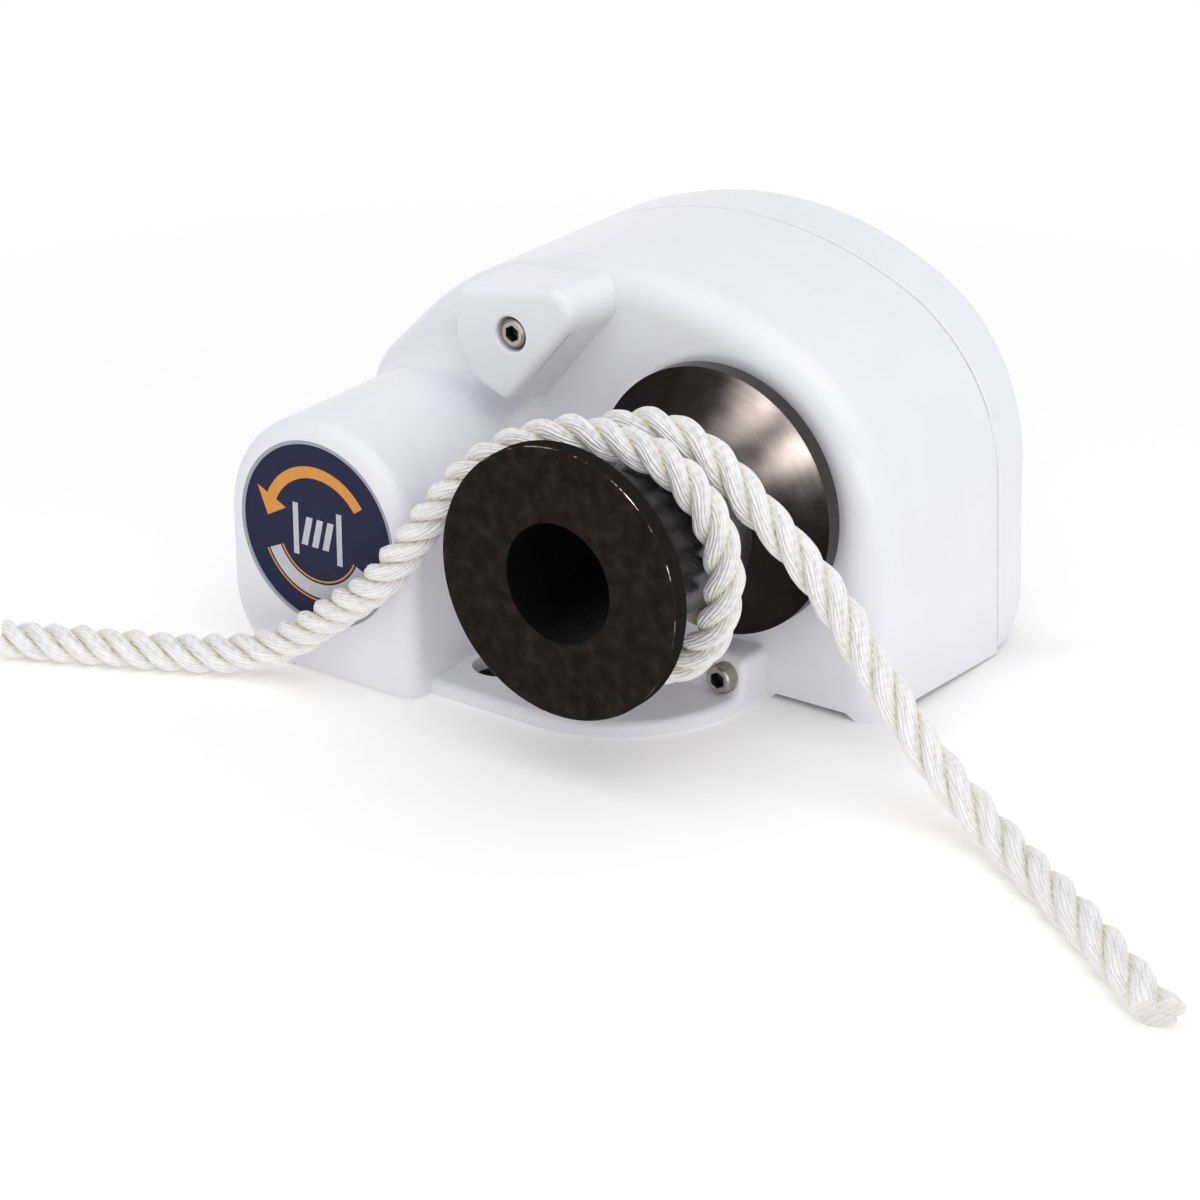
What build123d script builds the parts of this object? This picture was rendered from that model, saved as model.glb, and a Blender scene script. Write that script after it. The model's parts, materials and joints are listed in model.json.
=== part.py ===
from build123d import *
import math
import os

# Electric rope capstan winch: a moulded two-part housing on a steel base plate, a motor in the round pod,
# two spur gear stages between two steel plates, and a waisted drum on the output shaft.
# Millimetres, +Z up. X runs along the front, the drum faces -Y, and the origin is under the middle of the body.

# Housing
WALL = 3.5
FRONT_WALL_Y = 1.0
SEAM_Y = 73.5
SEAM_GAP = 0.6
SEAM_EDGE_R = 0.8
REAR_Y = 90.7
REAR_FOOT_R = 18.7
REAR_LEAN_FROM = 30.0
REAR_LEAN_R = 567.0
HOOD_FRONT_ROUND = 12.0
HOOD_REAR_ROUND = 4.0
HOOD_UNDER = -12.0
HOOD_CORNERS = [(106.5, HOOD_UNDER), (101.3, 103.1), (14.5, 142.2), (-64.1, 118.6), (-106.5, 76.2),
                (-106.5, HOOD_UNDER)]
HOOD_RADII = [0, 67, 134, 100, 30, 25]
SIDE_GAP = [(16.0, 0), (20.0, 2.8), (SEAM_Y, 0.4), (SEAM_Y, 0)]
FRONT_GAP = [(64.0, 0), (66.0, 1.7), (92.5, 2.1), (96.5, 0)]
POD_FOOT_GAP = 1.3
GASKET_INSET = (0.9, 2.8)

# Cable grommet in the rear cover
GROMMET = (-40.0, 32.0)
GROMMET_NECK_R = 6.0
GROMMET_BORE_R = 4.0
GROMMET_LIP = 2.0

# Base plate, with the studs' holes
BASE = (-96.0, 101.8, 6.0, 73.0)
BASE_THICK = 4.0
BASE_CORNER_R = 8.0
MOUNT_X = (-60.0, 84.0)
MOUNT_Y = (26.0, 60.0)
MOUNT_BORE_R = 4.2
NUT_R = 7.5
NUT_HEIGHT = 6.5
TAB_HALF = 7.0
TAB_THICK = 3.0

# Motor pod
POD_X = -65.0
POD_Z = 49.5
POD_R = 38.5
POD_FRONT_Y = -71.5
POD_ROUND = 6.0
POD_UNDER = -6.0
POD_HEEL_R = 31.0
POD_BORE_R = 35.0
POD_COVE = 12.0

# Label seat on the pod
LABEL_R = 30.6
LABEL_RING_R = 31.9
LABEL_DEPTH = 1.2
LABEL_THICK = 0.7

# Clamp boss on the front wall
BOSS_Y = -19.0
BOSS_FRONT = [(-49.2, 122.9), (10.2, 132.8), (-27.5, 87.3), (-49.2, 94.9)]
BOSS_ROOT = [(-49.2, 122.9), (16.4, 133.8), (-29.0, 79.1), (-49.2, 90.5)]
BOSS_RADII = [6, 8.5, 5, 19]
BOSS_ROUND = 3.5
BOSS_SCREW = (-25.9, 111.0)
BOSS_COUNTERBORE = 1.0
BOSS_HOLE_R = 5.9
BOSS_HOLE_ROUND = 1.0

# Apron under the drum
APRON_RIGHT_X = 62.0
APRON_FRONT_Y = -62.0
APRON_BACK_Y = 3.0
APRON_CORNER_R = 48.0
APRON_THICK = 5.0
LUG_FRONT_Y = -12.5
LUG_TOP = 17.0
LUG_ROUND = 3.5
LUG_COVE = 4.5
RIGHT_LUG_X = (41.0, 62.0)
LEFT_LUG_X = (-16.0, 6.0)
APRON_SCREWS = [(55.5, 10.5), (-5.0, 10.5)]
DRAIN = (-15.3, -40.0)
DRAIN_R = 9.0
CAP_HEAD_R = 4.9
CAP_HEAD_LONG = 7.0
CAP_SHANK_R = 3.0
SOCKET_R = 2.9

# Drum
DRUM_X = 46.5
DRUM_Z = 67.5
DRUM_FRONT_Y = -91.0
DRUM_REAR_Y = -3.1
FRONT_FLANGE_R = 44.0
REAR_FLANGE_R = 44.7
FLANGE_RIM = 6.1
RIM_CHAMFER = 0.5
BARREL_R = 27.5
FLARE_LONG = 17.0
FLARE_MIDDLE = (5.5, 6.0)
DRUM_BORE_R = 19.5
HUB_FACE_Y = -34.0

# Gear train
PRESSURE_ANGLE = math.radians(25)
BACKLASH = 0.16
STAGE_1_MODULE = 1.25
MOTOR_PINION_TEETH = 16
IDLER_GEAR_TEETH = 72
STAGE_2_MODULE = 1.5
IDLER_PINION_TEETH = 14
OUTPUT_GEAR_TEETH = 64
FRONT_PLATE_Y = (12.0, 16.0)
REAR_PLATE_Y = (60.0, 64.0)
STAGE_1_Y = (20.0, 30.0)
STAGE_2_Y = (34.0, 48.0)
GEAR_PLATE = [(-98, BASE_THICK), (-98, 58), (-62, 102), (-28, 121), (20, 126), (66, 111), (92, 82),
              (99, BASE_THICK)]
GEAR_PLATE_RADII = [3, 10, 10, 20, 20, 20, 20, 3]
STANDOFFS = [(-91, 18), (-62, 90), (18, 119), (91, 22), (15, 13)]
STANDOFF_R = 5.0
STUD_R = 2.5
REAR_HEAD_LONG = 2.0
DRUM_SHAFT_R = 8.0
IDLER_SHAFT_R = 5.0
MOTOR_SHAFT_R = 4.0
BUSH_WALL = 2.5
BUSH_FLANGE = 2.5
SEAL_R = DRUM_SHAFT_R + 5
SEAL_LIP = 3.0
CLIP_THICK = 1.2
CLIP_SEAT = 0.8
CLIP_PROUD = 2.4
DRUM_CLIPS_Y = (STAGE_2_Y[0] - 1.4, STAGE_2_Y[1] + 0.2)
IDLER_CLIPS_Y = (STAGE_1_Y[0] - 1.4, STAGE_2_Y[1] + 1.2)
KEY = 5.0
DRUM_KEY_Y = (HUB_FACE_Y + 6, DRUM_REAR_Y - 3)
OUTPUT_KEY_Y = (STAGE_2_Y[0] + 0.5, STAGE_2_Y[1] - 0.5)
OUTPUT_WEB_R = (15.0, 40.0)
IDLER_WEB_R = (11.0, 39.0)
IDLER_HUB_R = 9.0
WASHER_R = 16.0
WASHER_THICK = 2.5
DRUM_BOLT_R = 4.0
DRUM_BOLT_LONG = 24.0
DRUM_BOLT_HEAD = (6.5, 8.0, 3.5)
PLATE_SCREW_HEAD = (4.2, 3.0)
PLATE_SCREW_LONG = 16.0
BRACKET_X = (-40.0, 62.0)
BRACKET_HALF = 9.0
BRACKET_LONG = 18.0
BRACKET_THICK = 3.0
BRACKET_TALL = 10.0
RUNNING_FIT = 0.03
SLIP_FIT = 0.02

# Motor
CAN_R = 33.0
CAN_WALL = 2.0
CAN_Y = (-50.0, 4.0)
DRIVE_CAP_Y = (4.0, 12.0)
BRUSH_CAP_Y = (-66.0, -50.0)
MAGNET_Y = (-44.0, -2.0)
MAGNET_THICK = 5.0
ARMATURE_R = 25.2
ARMATURE_Y = (-42.0, -4.0)
ARMATURE_SLOTS = 12
COMMUTATOR_R = 10.0
COMMUTATOR_Y = (-60.0, -48.0)
BRUSH = (12.0, -57.0, -51.0, 3.0)
MOTOR_SCREW_R = 2.0
MOTOR_SCREW_CIRCLE = 21.0

# Rope
ROPE_R = 6.35
LEAD = 2 * ROPE_R
TURN_R = 34.35
TURN_SAG = 8.0
TURN_START = (84.0, -55.5)
TURN_END = (-311.0, -36.5)
TURN_STEPS = 6
DROP = [((-13.0, -78.0, 70.0), (0.57, 0.1, 0.82)), ((16.0, -66.0, 98.4), (0.87, 0.26, 0.42))]
TAIL_POINTS = [(-33.0, -80.3, 45.5), (-52.0, -80.5, 28.0), (-72.0, -82.5, 11.8), (-94.0, -91.8, 6.4),
               (-115.0, -102.0, 6.4), (-136.0, -112.0, 6.4), (-158.0, -122.5, 6.4)]
LOAD_POINTS = [(105.0, -36.6, 62.0), (133.0, -40.5, 37.5), (158.0, -46.5, 17.5), (181.0, -53.0, 7.4),
               (204.0, -67.5, 6.4), (232.0, -86.0, 6.4), (270.0, -115.5, 6.4)]
ROUND_SHARE = 0.45

os.makedirs("parts", exist_ok=True)


def save(shape, node):
    export_step(shape, f"parts/{node}.step")


def slab(sketch, y0, y1):
    """A sketch drawn in X and Z, extruded from y0 back to y1."""
    plane = Plane(origin=(0, y0, 0), x_dir=(1, 0, 0), z_dir=(0, -1, 0))
    return extrude(plane * sketch, amount=y1 - y0, dir=(0, 1, 0))


def rod(x, z, radius, y0, y1):
    return slab(Pos(x, z) * Circle(radius), y0, y1)


def ring(x, z, outer, inner, y0, y1):
    return slab(Pos(x, z) * (Circle(outer) - Circle(inner)), y0, y1)


def block(x0, x1, y0, y1, z0, z1):
    return Pos((x0 + x1) / 2, (y0 + y1) / 2, (z0 + z1) / 2) * Box(x1 - x0, y1 - y0, z1 - z0)


def turned(line, x, z):
    """A closed line of (radius, y) points, turned about the Y axis through x and z."""
    return Pos(x, 0, z) * revolve(make_face(line), Axis.Y)


def outline(corners, radii):
    return make_face(FilletPolyline(*corners, radius=radii, close=True))


def group(solids):
    return Compound(children=list(solids))


def cap_screw(x, z, y, length, shank_r=CAP_SHANK_R, head_r=CAP_HEAD_R, head_long=CAP_HEAD_LONG,
              socket_r=SOCKET_R):
    """A socket cap screw along Y, with the underside of its head at y and its socket facing -Y."""
    head = rod(x, z, head_r, y - head_long, y)
    head = chamfer(head.edges().sort_by(Axis.Y)[0], 0.4)
    socket = slab(Pos(x, z) * RegularPolygon(socket_r, 6), y - head_long, y - head_long * 0.4)
    return head - socket + rod(x, z, shank_r, y, y + length)


FLOOR = block(-300, 300, -300, 300, -60, 0)

# Housing shells

HOOD = outline(HOOD_CORNERS, HOOD_RADII)
HOOD_INSIDE = offset(HOOD, amount=-WALL)


def rounded_front(solid, radius):
    """Rounds the front edges of a prism whose lowest edge is under the floor."""
    front = solid.faces().sort_by(Axis.Y)[0]
    return fillet(front.edges(), radius)


def pod_section():
    """The pod's section: round on top, straight to the floor on the right, with a rounded heel on the left."""
    left, right = POD_X - POD_R, POD_X + POD_R
    foot = outline([(left, POD_Z), (left, POD_UNDER), (right, POD_UNDER), (right, POD_Z)],
                   [0, POD_HEEL_R, 0, 0])
    return foot + Pos(POD_X, POD_Z) * Circle(POD_R)


def make_hood_and_pod():
    """The hood with the pod standing out of its front wall, joined by a cove."""
    hood = rounded_front(slab(HOOD, FRONT_WALL_Y, SEAM_Y - SEAM_GAP / 2), HOOD_FRONT_ROUND)
    hood = fillet(hood.faces().sort_by(Axis.Y)[-1].edges(), SEAM_EDGE_R)
    pod = rounded_front(slab(pod_section(), POD_FRONT_Y, FRONT_WALL_Y + 20), POD_ROUND)
    body = hood + pod - FLOOR
    corner = (POD_X + POD_R, FRONT_WALL_Y, POD_Z / 2)
    return fillet(body.edges().sort_by_distance(corner)[0], POD_COVE)


def lug(x0, x1):
    """A raised step at the back of the apron that takes a screw, with a cove at its front foot."""
    start_y = LUG_FRONT_Y - 2 * LUG_COVE
    side = outline([(APRON_BACK_Y, 0), (APRON_BACK_Y, LUG_TOP), (LUG_FRONT_Y, LUG_TOP),
                    (LUG_FRONT_Y, APRON_THICK), (start_y, APRON_THICK), (start_y, 0)],
                   [0, 0, LUG_ROUND, LUG_COVE, 0, 0])
    return Pos(x0, 0, 0) * extrude(Plane.YZ * side, amount=x1 - x0)


def on_apron_rim(edge):
    """Whether an edge runs along the top of the apron's outer side, also where that climbs the right lug."""
    middle = edge @ 0.5
    corner_x, corner_y = APRON_RIGHT_X - APRON_CORNER_R, APRON_FRONT_Y + APRON_CORNER_R
    if middle.Z < APRON_THICK - 0.01 or middle.Y > APRON_BACK_Y - 0.01:
        return False
    if middle.Y > corner_y:
        return abs(middle.X - APRON_RIGHT_X) < 0.01
    if middle.X < corner_x:
        return middle.Y < APRON_FRONT_Y + 0.01
    return abs(math.hypot(middle.X - corner_x, middle.Y - corner_y) - APRON_CORNER_R) < 0.02


def make_apron():
    plan = outline([(POD_X, APRON_BACK_Y), (POD_X, APRON_FRONT_Y), (APRON_RIGHT_X, APRON_FRONT_Y),
                    (APRON_RIGHT_X, APRON_BACK_Y)], [0, 0, APRON_CORNER_R, 0])
    apron = extrude(plan, amount=APRON_THICK) + (lug(*RIGHT_LUG_X) & extrude(plan, amount=2 * LUG_TOP))
    apron = fillet([edge for edge in apron.edges() if on_apron_rim(edge)], APRON_THICK / 2)
    return apron + lug(*LEFT_LUG_X) - Pos(*DRAIN, 0) * Cylinder(DRAIN_R, 4 * APRON_THICK)


def make_boss():
    """The clamp boss, wider at its root, with rounded front edges and a recess for its screw's head."""
    root_y = FRONT_WALL_Y + HOOD_FRONT_ROUND
    ends = [Plane(origin=(0, y, 0), x_dir=(1, 0, 0), z_dir=(0, -1, 0)) * outline(corners, BOSS_RADII)
            for y, corners in ((BOSS_Y, BOSS_FRONT), (root_y, BOSS_ROOT))]
    boss = loft(ends, ruled=True)
    boss = fillet(boss.faces().sort_by(Axis.Y)[0].edges(), BOSS_ROUND)
    boss -= rod(*BOSS_SCREW, BOSS_HOLE_R, BOSS_Y, BOSS_Y + CAP_HEAD_LONG + BOSS_COUNTERBORE)
    rim = boss.faces().sort_by(Axis.Y)[0].inner_wires()[0].edges()
    return fillet(rim, BOSS_HOLE_ROUND)


def make_front_cover():
    back = FRONT_WALL_Y + WALL + 1
    cover = make_hood_and_pod() + make_apron() + make_boss()
    inside = slab(HOOD_INSIDE, FRONT_WALL_Y + WALL, SEAM_Y)
    cover -= rounded_front(inside, HOOD_FRONT_ROUND - WALL)
    cover -= rod(POD_X, POD_Z, POD_BORE_R, POD_FRONT_Y + WALL, back)
    cover -= block(POD_X - 22, POD_X + POD_R - WALL, POD_FRONT_Y + 2 * WALL, FRONT_WALL_Y - WALL, -1, 9)
    cover -= rod(POD_X, POD_Z, LABEL_RING_R, POD_FRONT_Y, POD_FRONT_Y + LABEL_DEPTH)
    cover -= rod(DRUM_X, DRUM_Z, SEAL_R, FRONT_WALL_Y - 1, back)
    cover -= rod(*BOSS_SCREW, CAP_SHANK_R + 0.3, BOSS_Y, back)
    for x, z in APRON_SCREWS:
        cover -= rod(x, z, CAP_SHANK_R + 0.3, LUG_FRONT_Y, back)
        cover -= rod(x, z, CAP_HEAD_R + 0.5, LUG_FRONT_Y - CAP_HEAD_LONG - 4, LUG_FRONT_Y)
    cover -= slab(make_face(Polyline(*FRONT_GAP, close=True)), FRONT_WALL_Y - 1, back)
    side_gap = extrude(Plane.YZ * make_face(Polyline(*SIDE_GAP, close=True)), amount=2 * WALL)
    cover -= Pos(HOOD_CORNERS[0][0] - 1.5 * WALL, 0, 0) * side_gap
    return cover - block(POD_X - 12, POD_X + POD_R + 1, POD_FRONT_Y - 1, APRON_FRONT_Y, 0, POD_FOOT_GAP)


def back_y(z):
    """The back's outer face: upright above the foot, and leaning out in a large arc higher up."""
    above = max(0, z - REAR_LEAN_FROM)
    return REAR_Y + REAR_LEAN_R - math.sqrt(REAR_LEAN_R ** 2 - above ** 2)


def behind_seam(section, front, inset):
    """A section in X and Z, extruded from the front to the back and its rounded foot, less the inset."""
    top, middle = HOOD_CORNERS[2][1], (REAR_LEAN_FROM + HOOD_CORNERS[2][1]) / 2
    foot_y, foot_r = REAR_Y - REAR_FOOT_R, REAR_FOOT_R - inset
    start = -math.acos((front - foot_y) / foot_r)

    def back(z):
        return back_y(z) - inset, z

    def foot(angle):
        return foot_y + foot_r * math.cos(angle), REAR_FOOT_R + foot_r * math.sin(angle)

    side = [Polyline(back(top), (front, top), foot(start)),
            ThreePointArc(foot(start), foot(start / 2), foot(0)),
            Line(foot(0), back(REAR_LEAN_FROM)),
            ThreePointArc(back(REAR_LEAN_FROM), back(middle), back(top))]
    depth = extrude(Plane.YZ * make_face(side), amount=2 * HOOD_CORNERS[0][0], both=True)
    return slab(section, front, back_y(top)) & depth


def make_rear_cover():
    front = SEAM_Y + SEAM_GAP / 2

    def across(edge):
        return abs((edge % 0.5).X) > 0.999 and edge.geom_type == GeomType.LINE

    cover = behind_seam(HOOD, front, 0)
    backs = [face for face in cover.faces() if face.normal_at().Y > 0.5]
    cover = fillet([edge for face in backs for edge in face.edges() if not across(edge)], HOOD_REAR_ROUND)
    seam = cover.faces().sort_by(Axis.Y)[0]
    cover = fillet([edge for edge in seam.edges() if not across(edge)], SEAM_EDGE_R)
    cover -= behind_seam(HOOD_INSIDE, front - 1, WALL)
    for x, z in STANDOFFS[:4]:
        cover -= rod(x, z, STUD_R + 0.3, SEAM_Y, back_y(z) + 1)
        cover -= rod(x, z, CAP_HEAD_R + 0.6, back_y(z) - REAR_HEAD_LONG, back_y(z) + 5)
    return cover - rod(*GROMMET, GROMMET_NECK_R, REAR_Y - WALL - 1, REAR_Y + 1)


def make_gasket():
    outer, inner = [offset(HOOD, amount=-inset) for inset in GASKET_INSET]
    arch = slab(outer - inner, SEAM_Y - SEAM_GAP / 2, SEAM_Y + SEAM_GAP / 2)
    return arch - Pos(0, 0, BASE_THICK) * FLOOR


def make_grommet():
    inner_face, outer_face = REAR_Y - WALL, REAR_Y
    lip_y, lip_r = inner_face - GROMMET_LIP, GROMMET_NECK_R + GROMMET_LIP
    line = Polyline((GROMMET_BORE_R, lip_y), (lip_r, lip_y), (lip_r, inner_face), (GROMMET_NECK_R, inner_face),
                    (GROMMET_NECK_R, outer_face), (GROMMET_BORE_R, outer_face), close=True)
    return turned(line, *GROMMET)


def mount_points():
    return [(x, y) for x in MOUNT_X for y in MOUNT_Y]


def make_base_plate():
    x0, x1, y0, y1 = BASE
    plan = outline([(x0, y0), (x1, y0), (x1, y1), (x0, y1)], BASE_CORNER_R)
    plate = extrude(plan, amount=BASE_THICK)
    for x, z in APRON_SCREWS:
        plate += block(x - TAB_HALF, x + TAB_HALF, y0 - 0.5, y0 - 0.5 + TAB_THICK, 0, z + TAB_HALF)
        plate -= rod(x, z, CAP_SHANK_R, y0 - 1, y0 + TAB_THICK)
    for x, y in mount_points():
        plate -= Pos(x, y, 0) * Cylinder(MOUNT_BORE_R, 4 * BASE_THICK)
    return plate


def make_mounting_nuts():
    def nut(x, y):
        body = Pos(x, y, BASE_THICK + NUT_HEIGHT / 2) * Cylinder(NUT_R, NUT_HEIGHT)
        return body - Pos(x, y, BASE_THICK) * Cylinder(MOUNT_BORE_R, 4 * NUT_HEIGHT)
    return group(nut(x, y) for x, y in mount_points())


def make_housing():
    save(make_front_cover(), "front_cover")
    save(make_rear_cover(), "rear_cover")
    save(make_gasket(), "cover_gasket")
    save(make_grommet(), "cable_grommet")
    save(make_base_plate(), "base_plate")
    save(make_mounting_nuts(), "mounting_nuts")
    seat = POD_FRONT_Y + LABEL_DEPTH
    save(rod(POD_X, POD_Z, LABEL_R, seat - LABEL_THICK, seat), "label_disc")
    save(ring(POD_X, POD_Z, LABEL_RING_R, LABEL_R, POD_FRONT_Y + 0.1, seat), "label_ring")
    x, z = BOSS_SCREW
    under_head = BOSS_Y + CAP_HEAD_LONG + BOSS_COUNTERBORE
    save(cap_screw(x, z, under_head, FRONT_PLATE_Y[1] - under_head), "boss_screw")
    reach = BASE[2] + TAB_THICK - LUG_FRONT_Y
    save(group(cap_screw(x, z, LUG_FRONT_Y, reach) for x, z in APRON_SCREWS), "apron_screws")
    rear = []
    for x, z in STANDOFFS[:4]:
        seat = back_y(z) - REAR_HEAD_LONG
        screw = cap_screw(0, 0, 0, seat - REAR_PLATE_Y[0] + 4, STUD_R, CAP_HEAD_R, REAR_HEAD_LONG - 0.3)
        rear.append(Pos(x, seat, z) * Rot(0, 0, 180) * screw)
    save(group(rear), "rear_cover_screws")


# Gear train

def gear_outline(teeth, module, phase):
    """A spur gear's outline, with involute flanks drawn through three points each."""
    pitch = teeth * module / 2
    base = pitch * math.cos(PRESSURE_ANGLE)
    root, tip = pitch - 1.25 * module, pitch + module
    half_tooth = (math.pi * module / 2 - BACKLASH) / (2 * pitch)

    def involute(radius):
        angle = math.acos(min(1, base / radius))
        return math.tan(angle) - angle

    def half_angle(radius):
        return half_tooth + involute(pitch) - involute(radius)

    foot = max(base, root)
    flank = [(radius, half_angle(radius)) for radius in (foot, (foot + tip) / 2, tip)]
    if root < base:
        flank.insert(0, (root, half_angle(base)))
    points = []
    for tooth in range(teeth):
        centre = phase + 2 * math.pi * tooth / teeth
        points += [(radius, centre - angle) for radius, angle in flank]
        points += [(radius, centre + angle) for radius, angle in reversed(flank)]
    return make_face(Polyline(*[(r * math.cos(a), r * math.sin(a)) for r, a in points], close=True))


def meshing_phase(from_centre, from_teeth, from_phase, to_centre, to_teeth):
    """The phase that puts a gear's tooth gaps where the other gear has its teeth."""
    line = math.atan2(to_centre[1] - from_centre[1], to_centre[0] - from_centre[0])
    share = (line - from_phase) * from_teeth / (2 * math.pi)
    return line + math.pi - (0.5 - share) * 2 * math.pi / to_teeth


def idler_centre():
    """The idler's axis, where both stages have their centre distance, above the line between the other two."""
    near = STAGE_1_MODULE * (MOTOR_PINION_TEETH + IDLER_GEAR_TEETH) / 2
    far = STAGE_2_MODULE * (IDLER_PINION_TEETH + OUTPUT_GEAR_TEETH) / 2
    dx, dz = DRUM_X - POD_X, DRUM_Z - POD_Z
    span = math.hypot(dx, dz)
    along = (near ** 2 - far ** 2 + span ** 2) / (2 * span)
    up = math.sqrt(near ** 2 - along ** 2)
    return POD_X + (along * dx - up * dz) / span, POD_Z + (along * dz + up * dx) / span


IDLER = idler_centre()
MOTOR = (POD_X, POD_Z)
DRUM = (DRUM_X, DRUM_Z)
OUTPUT_PHASE = 0.0
IDLER_PINION_PHASE = meshing_phase(DRUM, OUTPUT_GEAR_TEETH, OUTPUT_PHASE, IDLER, IDLER_PINION_TEETH)
IDLER_GEAR_PHASE = 0.0
MOTOR_PINION_PHASE = meshing_phase(IDLER, IDLER_GEAR_TEETH, IDLER_GEAR_PHASE, MOTOR, MOTOR_PINION_TEETH)


def gear(centre, teeth, module, phase, bore, y0, y1):
    toothed = gear_outline(teeth, module, phase) - Circle(bore)
    return slab(Pos(*centre) * toothed, y0, y1)


def circlip(centre, shaft_r, y):
    """An open spring ring in a shaft's groove."""
    clip = Circle(shaft_r + CLIP_PROUD) - Circle(shaft_r - CLIP_SEAT) - Pos(0, -shaft_r) * Rectangle(4, 8)
    return slab(Pos(*centre) * clip, y, y + CLIP_THICK)


def groove(centre, shaft_r, y):
    return ring(*centre, shaft_r + 1, shaft_r - CLIP_SEAT, y, y + CLIP_THICK)


def bush(centre, shaft_r, y0, y1, flange):
    """A flanged plain bearing."""
    bore = shaft_r + RUNNING_FIT
    body = ring(*centre, shaft_r + BUSH_WALL, bore, y0, y1)
    return body + ring(*centre, shaft_r + BUSH_WALL + BUSH_FLANGE, bore, *flange)


def key_block(y0, y1):
    """A key along the top of the drum's shaft."""
    bottom = DRUM_Z + DRUM_SHAFT_R - KEY / 2
    return block(DRUM_X - KEY / 2, DRUM_X + KEY / 2, y0, y1, bottom, bottom + KEY)


def make_drum():
    """The capstan drum, turned from one piece: two flanges, a waisted barrel and a deep bore."""
    front_back = DRUM_FRONT_Y + FLANGE_RIM
    rear_front = DRUM_REAR_Y - FLANGE_RIM
    flare_y = rear_front - FLARE_LONG
    rims = Polyline((BARREL_R, flare_y), (BARREL_R, front_back + 4), (BARREL_R + 2, front_back + 1.8),
                    (FRONT_FLANGE_R - RIM_CHAMFER, front_back), (FRONT_FLANGE_R, front_back - RIM_CHAMFER),
                    (FRONT_FLANGE_R, DRUM_FRONT_Y + RIM_CHAMFER), (FRONT_FLANGE_R - RIM_CHAMFER, DRUM_FRONT_Y),
                    (DRUM_BORE_R + RIM_CHAMFER, DRUM_FRONT_Y), (DRUM_BORE_R, DRUM_FRONT_Y + RIM_CHAMFER),
                    (DRUM_BORE_R, HUB_FACE_Y), (DRUM_SHAFT_R + SLIP_FIT, HUB_FACE_Y),
                    (DRUM_SHAFT_R + SLIP_FIT, DRUM_REAR_Y), (REAR_FLANGE_R - RIM_CHAMFER, DRUM_REAR_Y),
                    (REAR_FLANGE_R, DRUM_REAR_Y - RIM_CHAMFER), (REAR_FLANGE_R, rear_front + RIM_CHAMFER),
                    (REAR_FLANGE_R - RIM_CHAMFER, rear_front))
    flare = ThreePointArc((REAR_FLANGE_R - RIM_CHAMFER, rear_front),
                          (BARREL_R + FLARE_MIDDLE[0], rear_front - FLARE_MIDDLE[1]), (BARREL_R, flare_y))
    return turned([rims, flare], *DRUM) - key_block(*DRUM_KEY_Y)


def make_output_shaft():
    shaft = rod(*DRUM, DRUM_SHAFT_R, HUB_FACE_Y + 0.5, REAR_PLATE_Y[1] + 2)
    shaft -= key_block(*DRUM_KEY_Y) + key_block(*OUTPUT_KEY_Y)
    shaft -= rod(*DRUM, DRUM_BOLT_R, HUB_FACE_Y, HUB_FACE_Y + DRUM_BOLT_LONG)
    for y in DRUM_CLIPS_Y:
        shaft -= groove(DRUM, DRUM_SHAFT_R, y)
    save(shaft, "drum_shaft")
    save(make_drum(), "capstan_drum")
    save(key_block(*DRUM_KEY_Y), "drum_key")
    washer_y = HUB_FACE_Y - WASHER_THICK
    save(ring(*DRUM, WASHER_R, DRUM_BOLT_R + 0.3, washer_y, HUB_FACE_Y), "drum_washer")
    save(cap_screw(*DRUM, washer_y, DRUM_BOLT_LONG, DRUM_BOLT_R, *DRUM_BOLT_HEAD), "drum_bolt")
    wheel = gear(DRUM, OUTPUT_GEAR_TEETH, STAGE_2_MODULE, OUTPUT_PHASE, DRUM_SHAFT_R + SLIP_FIT, *STAGE_2_Y)
    for side in (STAGE_2_Y[0] - 1, STAGE_2_Y[1] - 4):
        wheel -= ring(*DRUM, OUTPUT_WEB_R[1], OUTPUT_WEB_R[0], side, side + 5)
    save(wheel - key_block(*OUTPUT_KEY_Y), "output_gear")
    save(key_block(*OUTPUT_KEY_Y), "output_key")
    save(group(circlip(DRUM, DRUM_SHAFT_R, y) for y in DRUM_CLIPS_Y), "drum_circlips")


def make_idler():
    shaft = rod(*IDLER, IDLER_SHAFT_R, FRONT_PLATE_Y[0] - 3, REAR_PLATE_Y[1] + 2)
    for y in IDLER_CLIPS_Y:
        shaft -= groove(IDLER, IDLER_SHAFT_R, y)
    save(shaft, "idler_shaft")
    bore = IDLER_SHAFT_R + SLIP_FIT
    wheel = gear(IDLER, IDLER_GEAR_TEETH, STAGE_1_MODULE, IDLER_GEAR_PHASE, bore, *STAGE_1_Y)
    for side in (STAGE_1_Y[0] - 1, STAGE_1_Y[1] - 3):
        wheel -= ring(*IDLER, IDLER_WEB_R[1], IDLER_WEB_R[0], side, side + 4)
    wheel += ring(*IDLER, IDLER_HUB_R, bore, STAGE_1_Y[1], STAGE_2_Y[0] - 1)
    save(wheel, "idler_gear")
    pinion_y = (STAGE_2_Y[0] - 1, STAGE_2_Y[1] + 1)
    save(gear(IDLER, IDLER_PINION_TEETH, STAGE_2_MODULE, IDLER_PINION_PHASE, bore, *pinion_y), "idler_pinion")
    save(group(circlip(IDLER, IDLER_SHAFT_R, y) for y in IDLER_CLIPS_Y), "idler_circlips")


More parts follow.
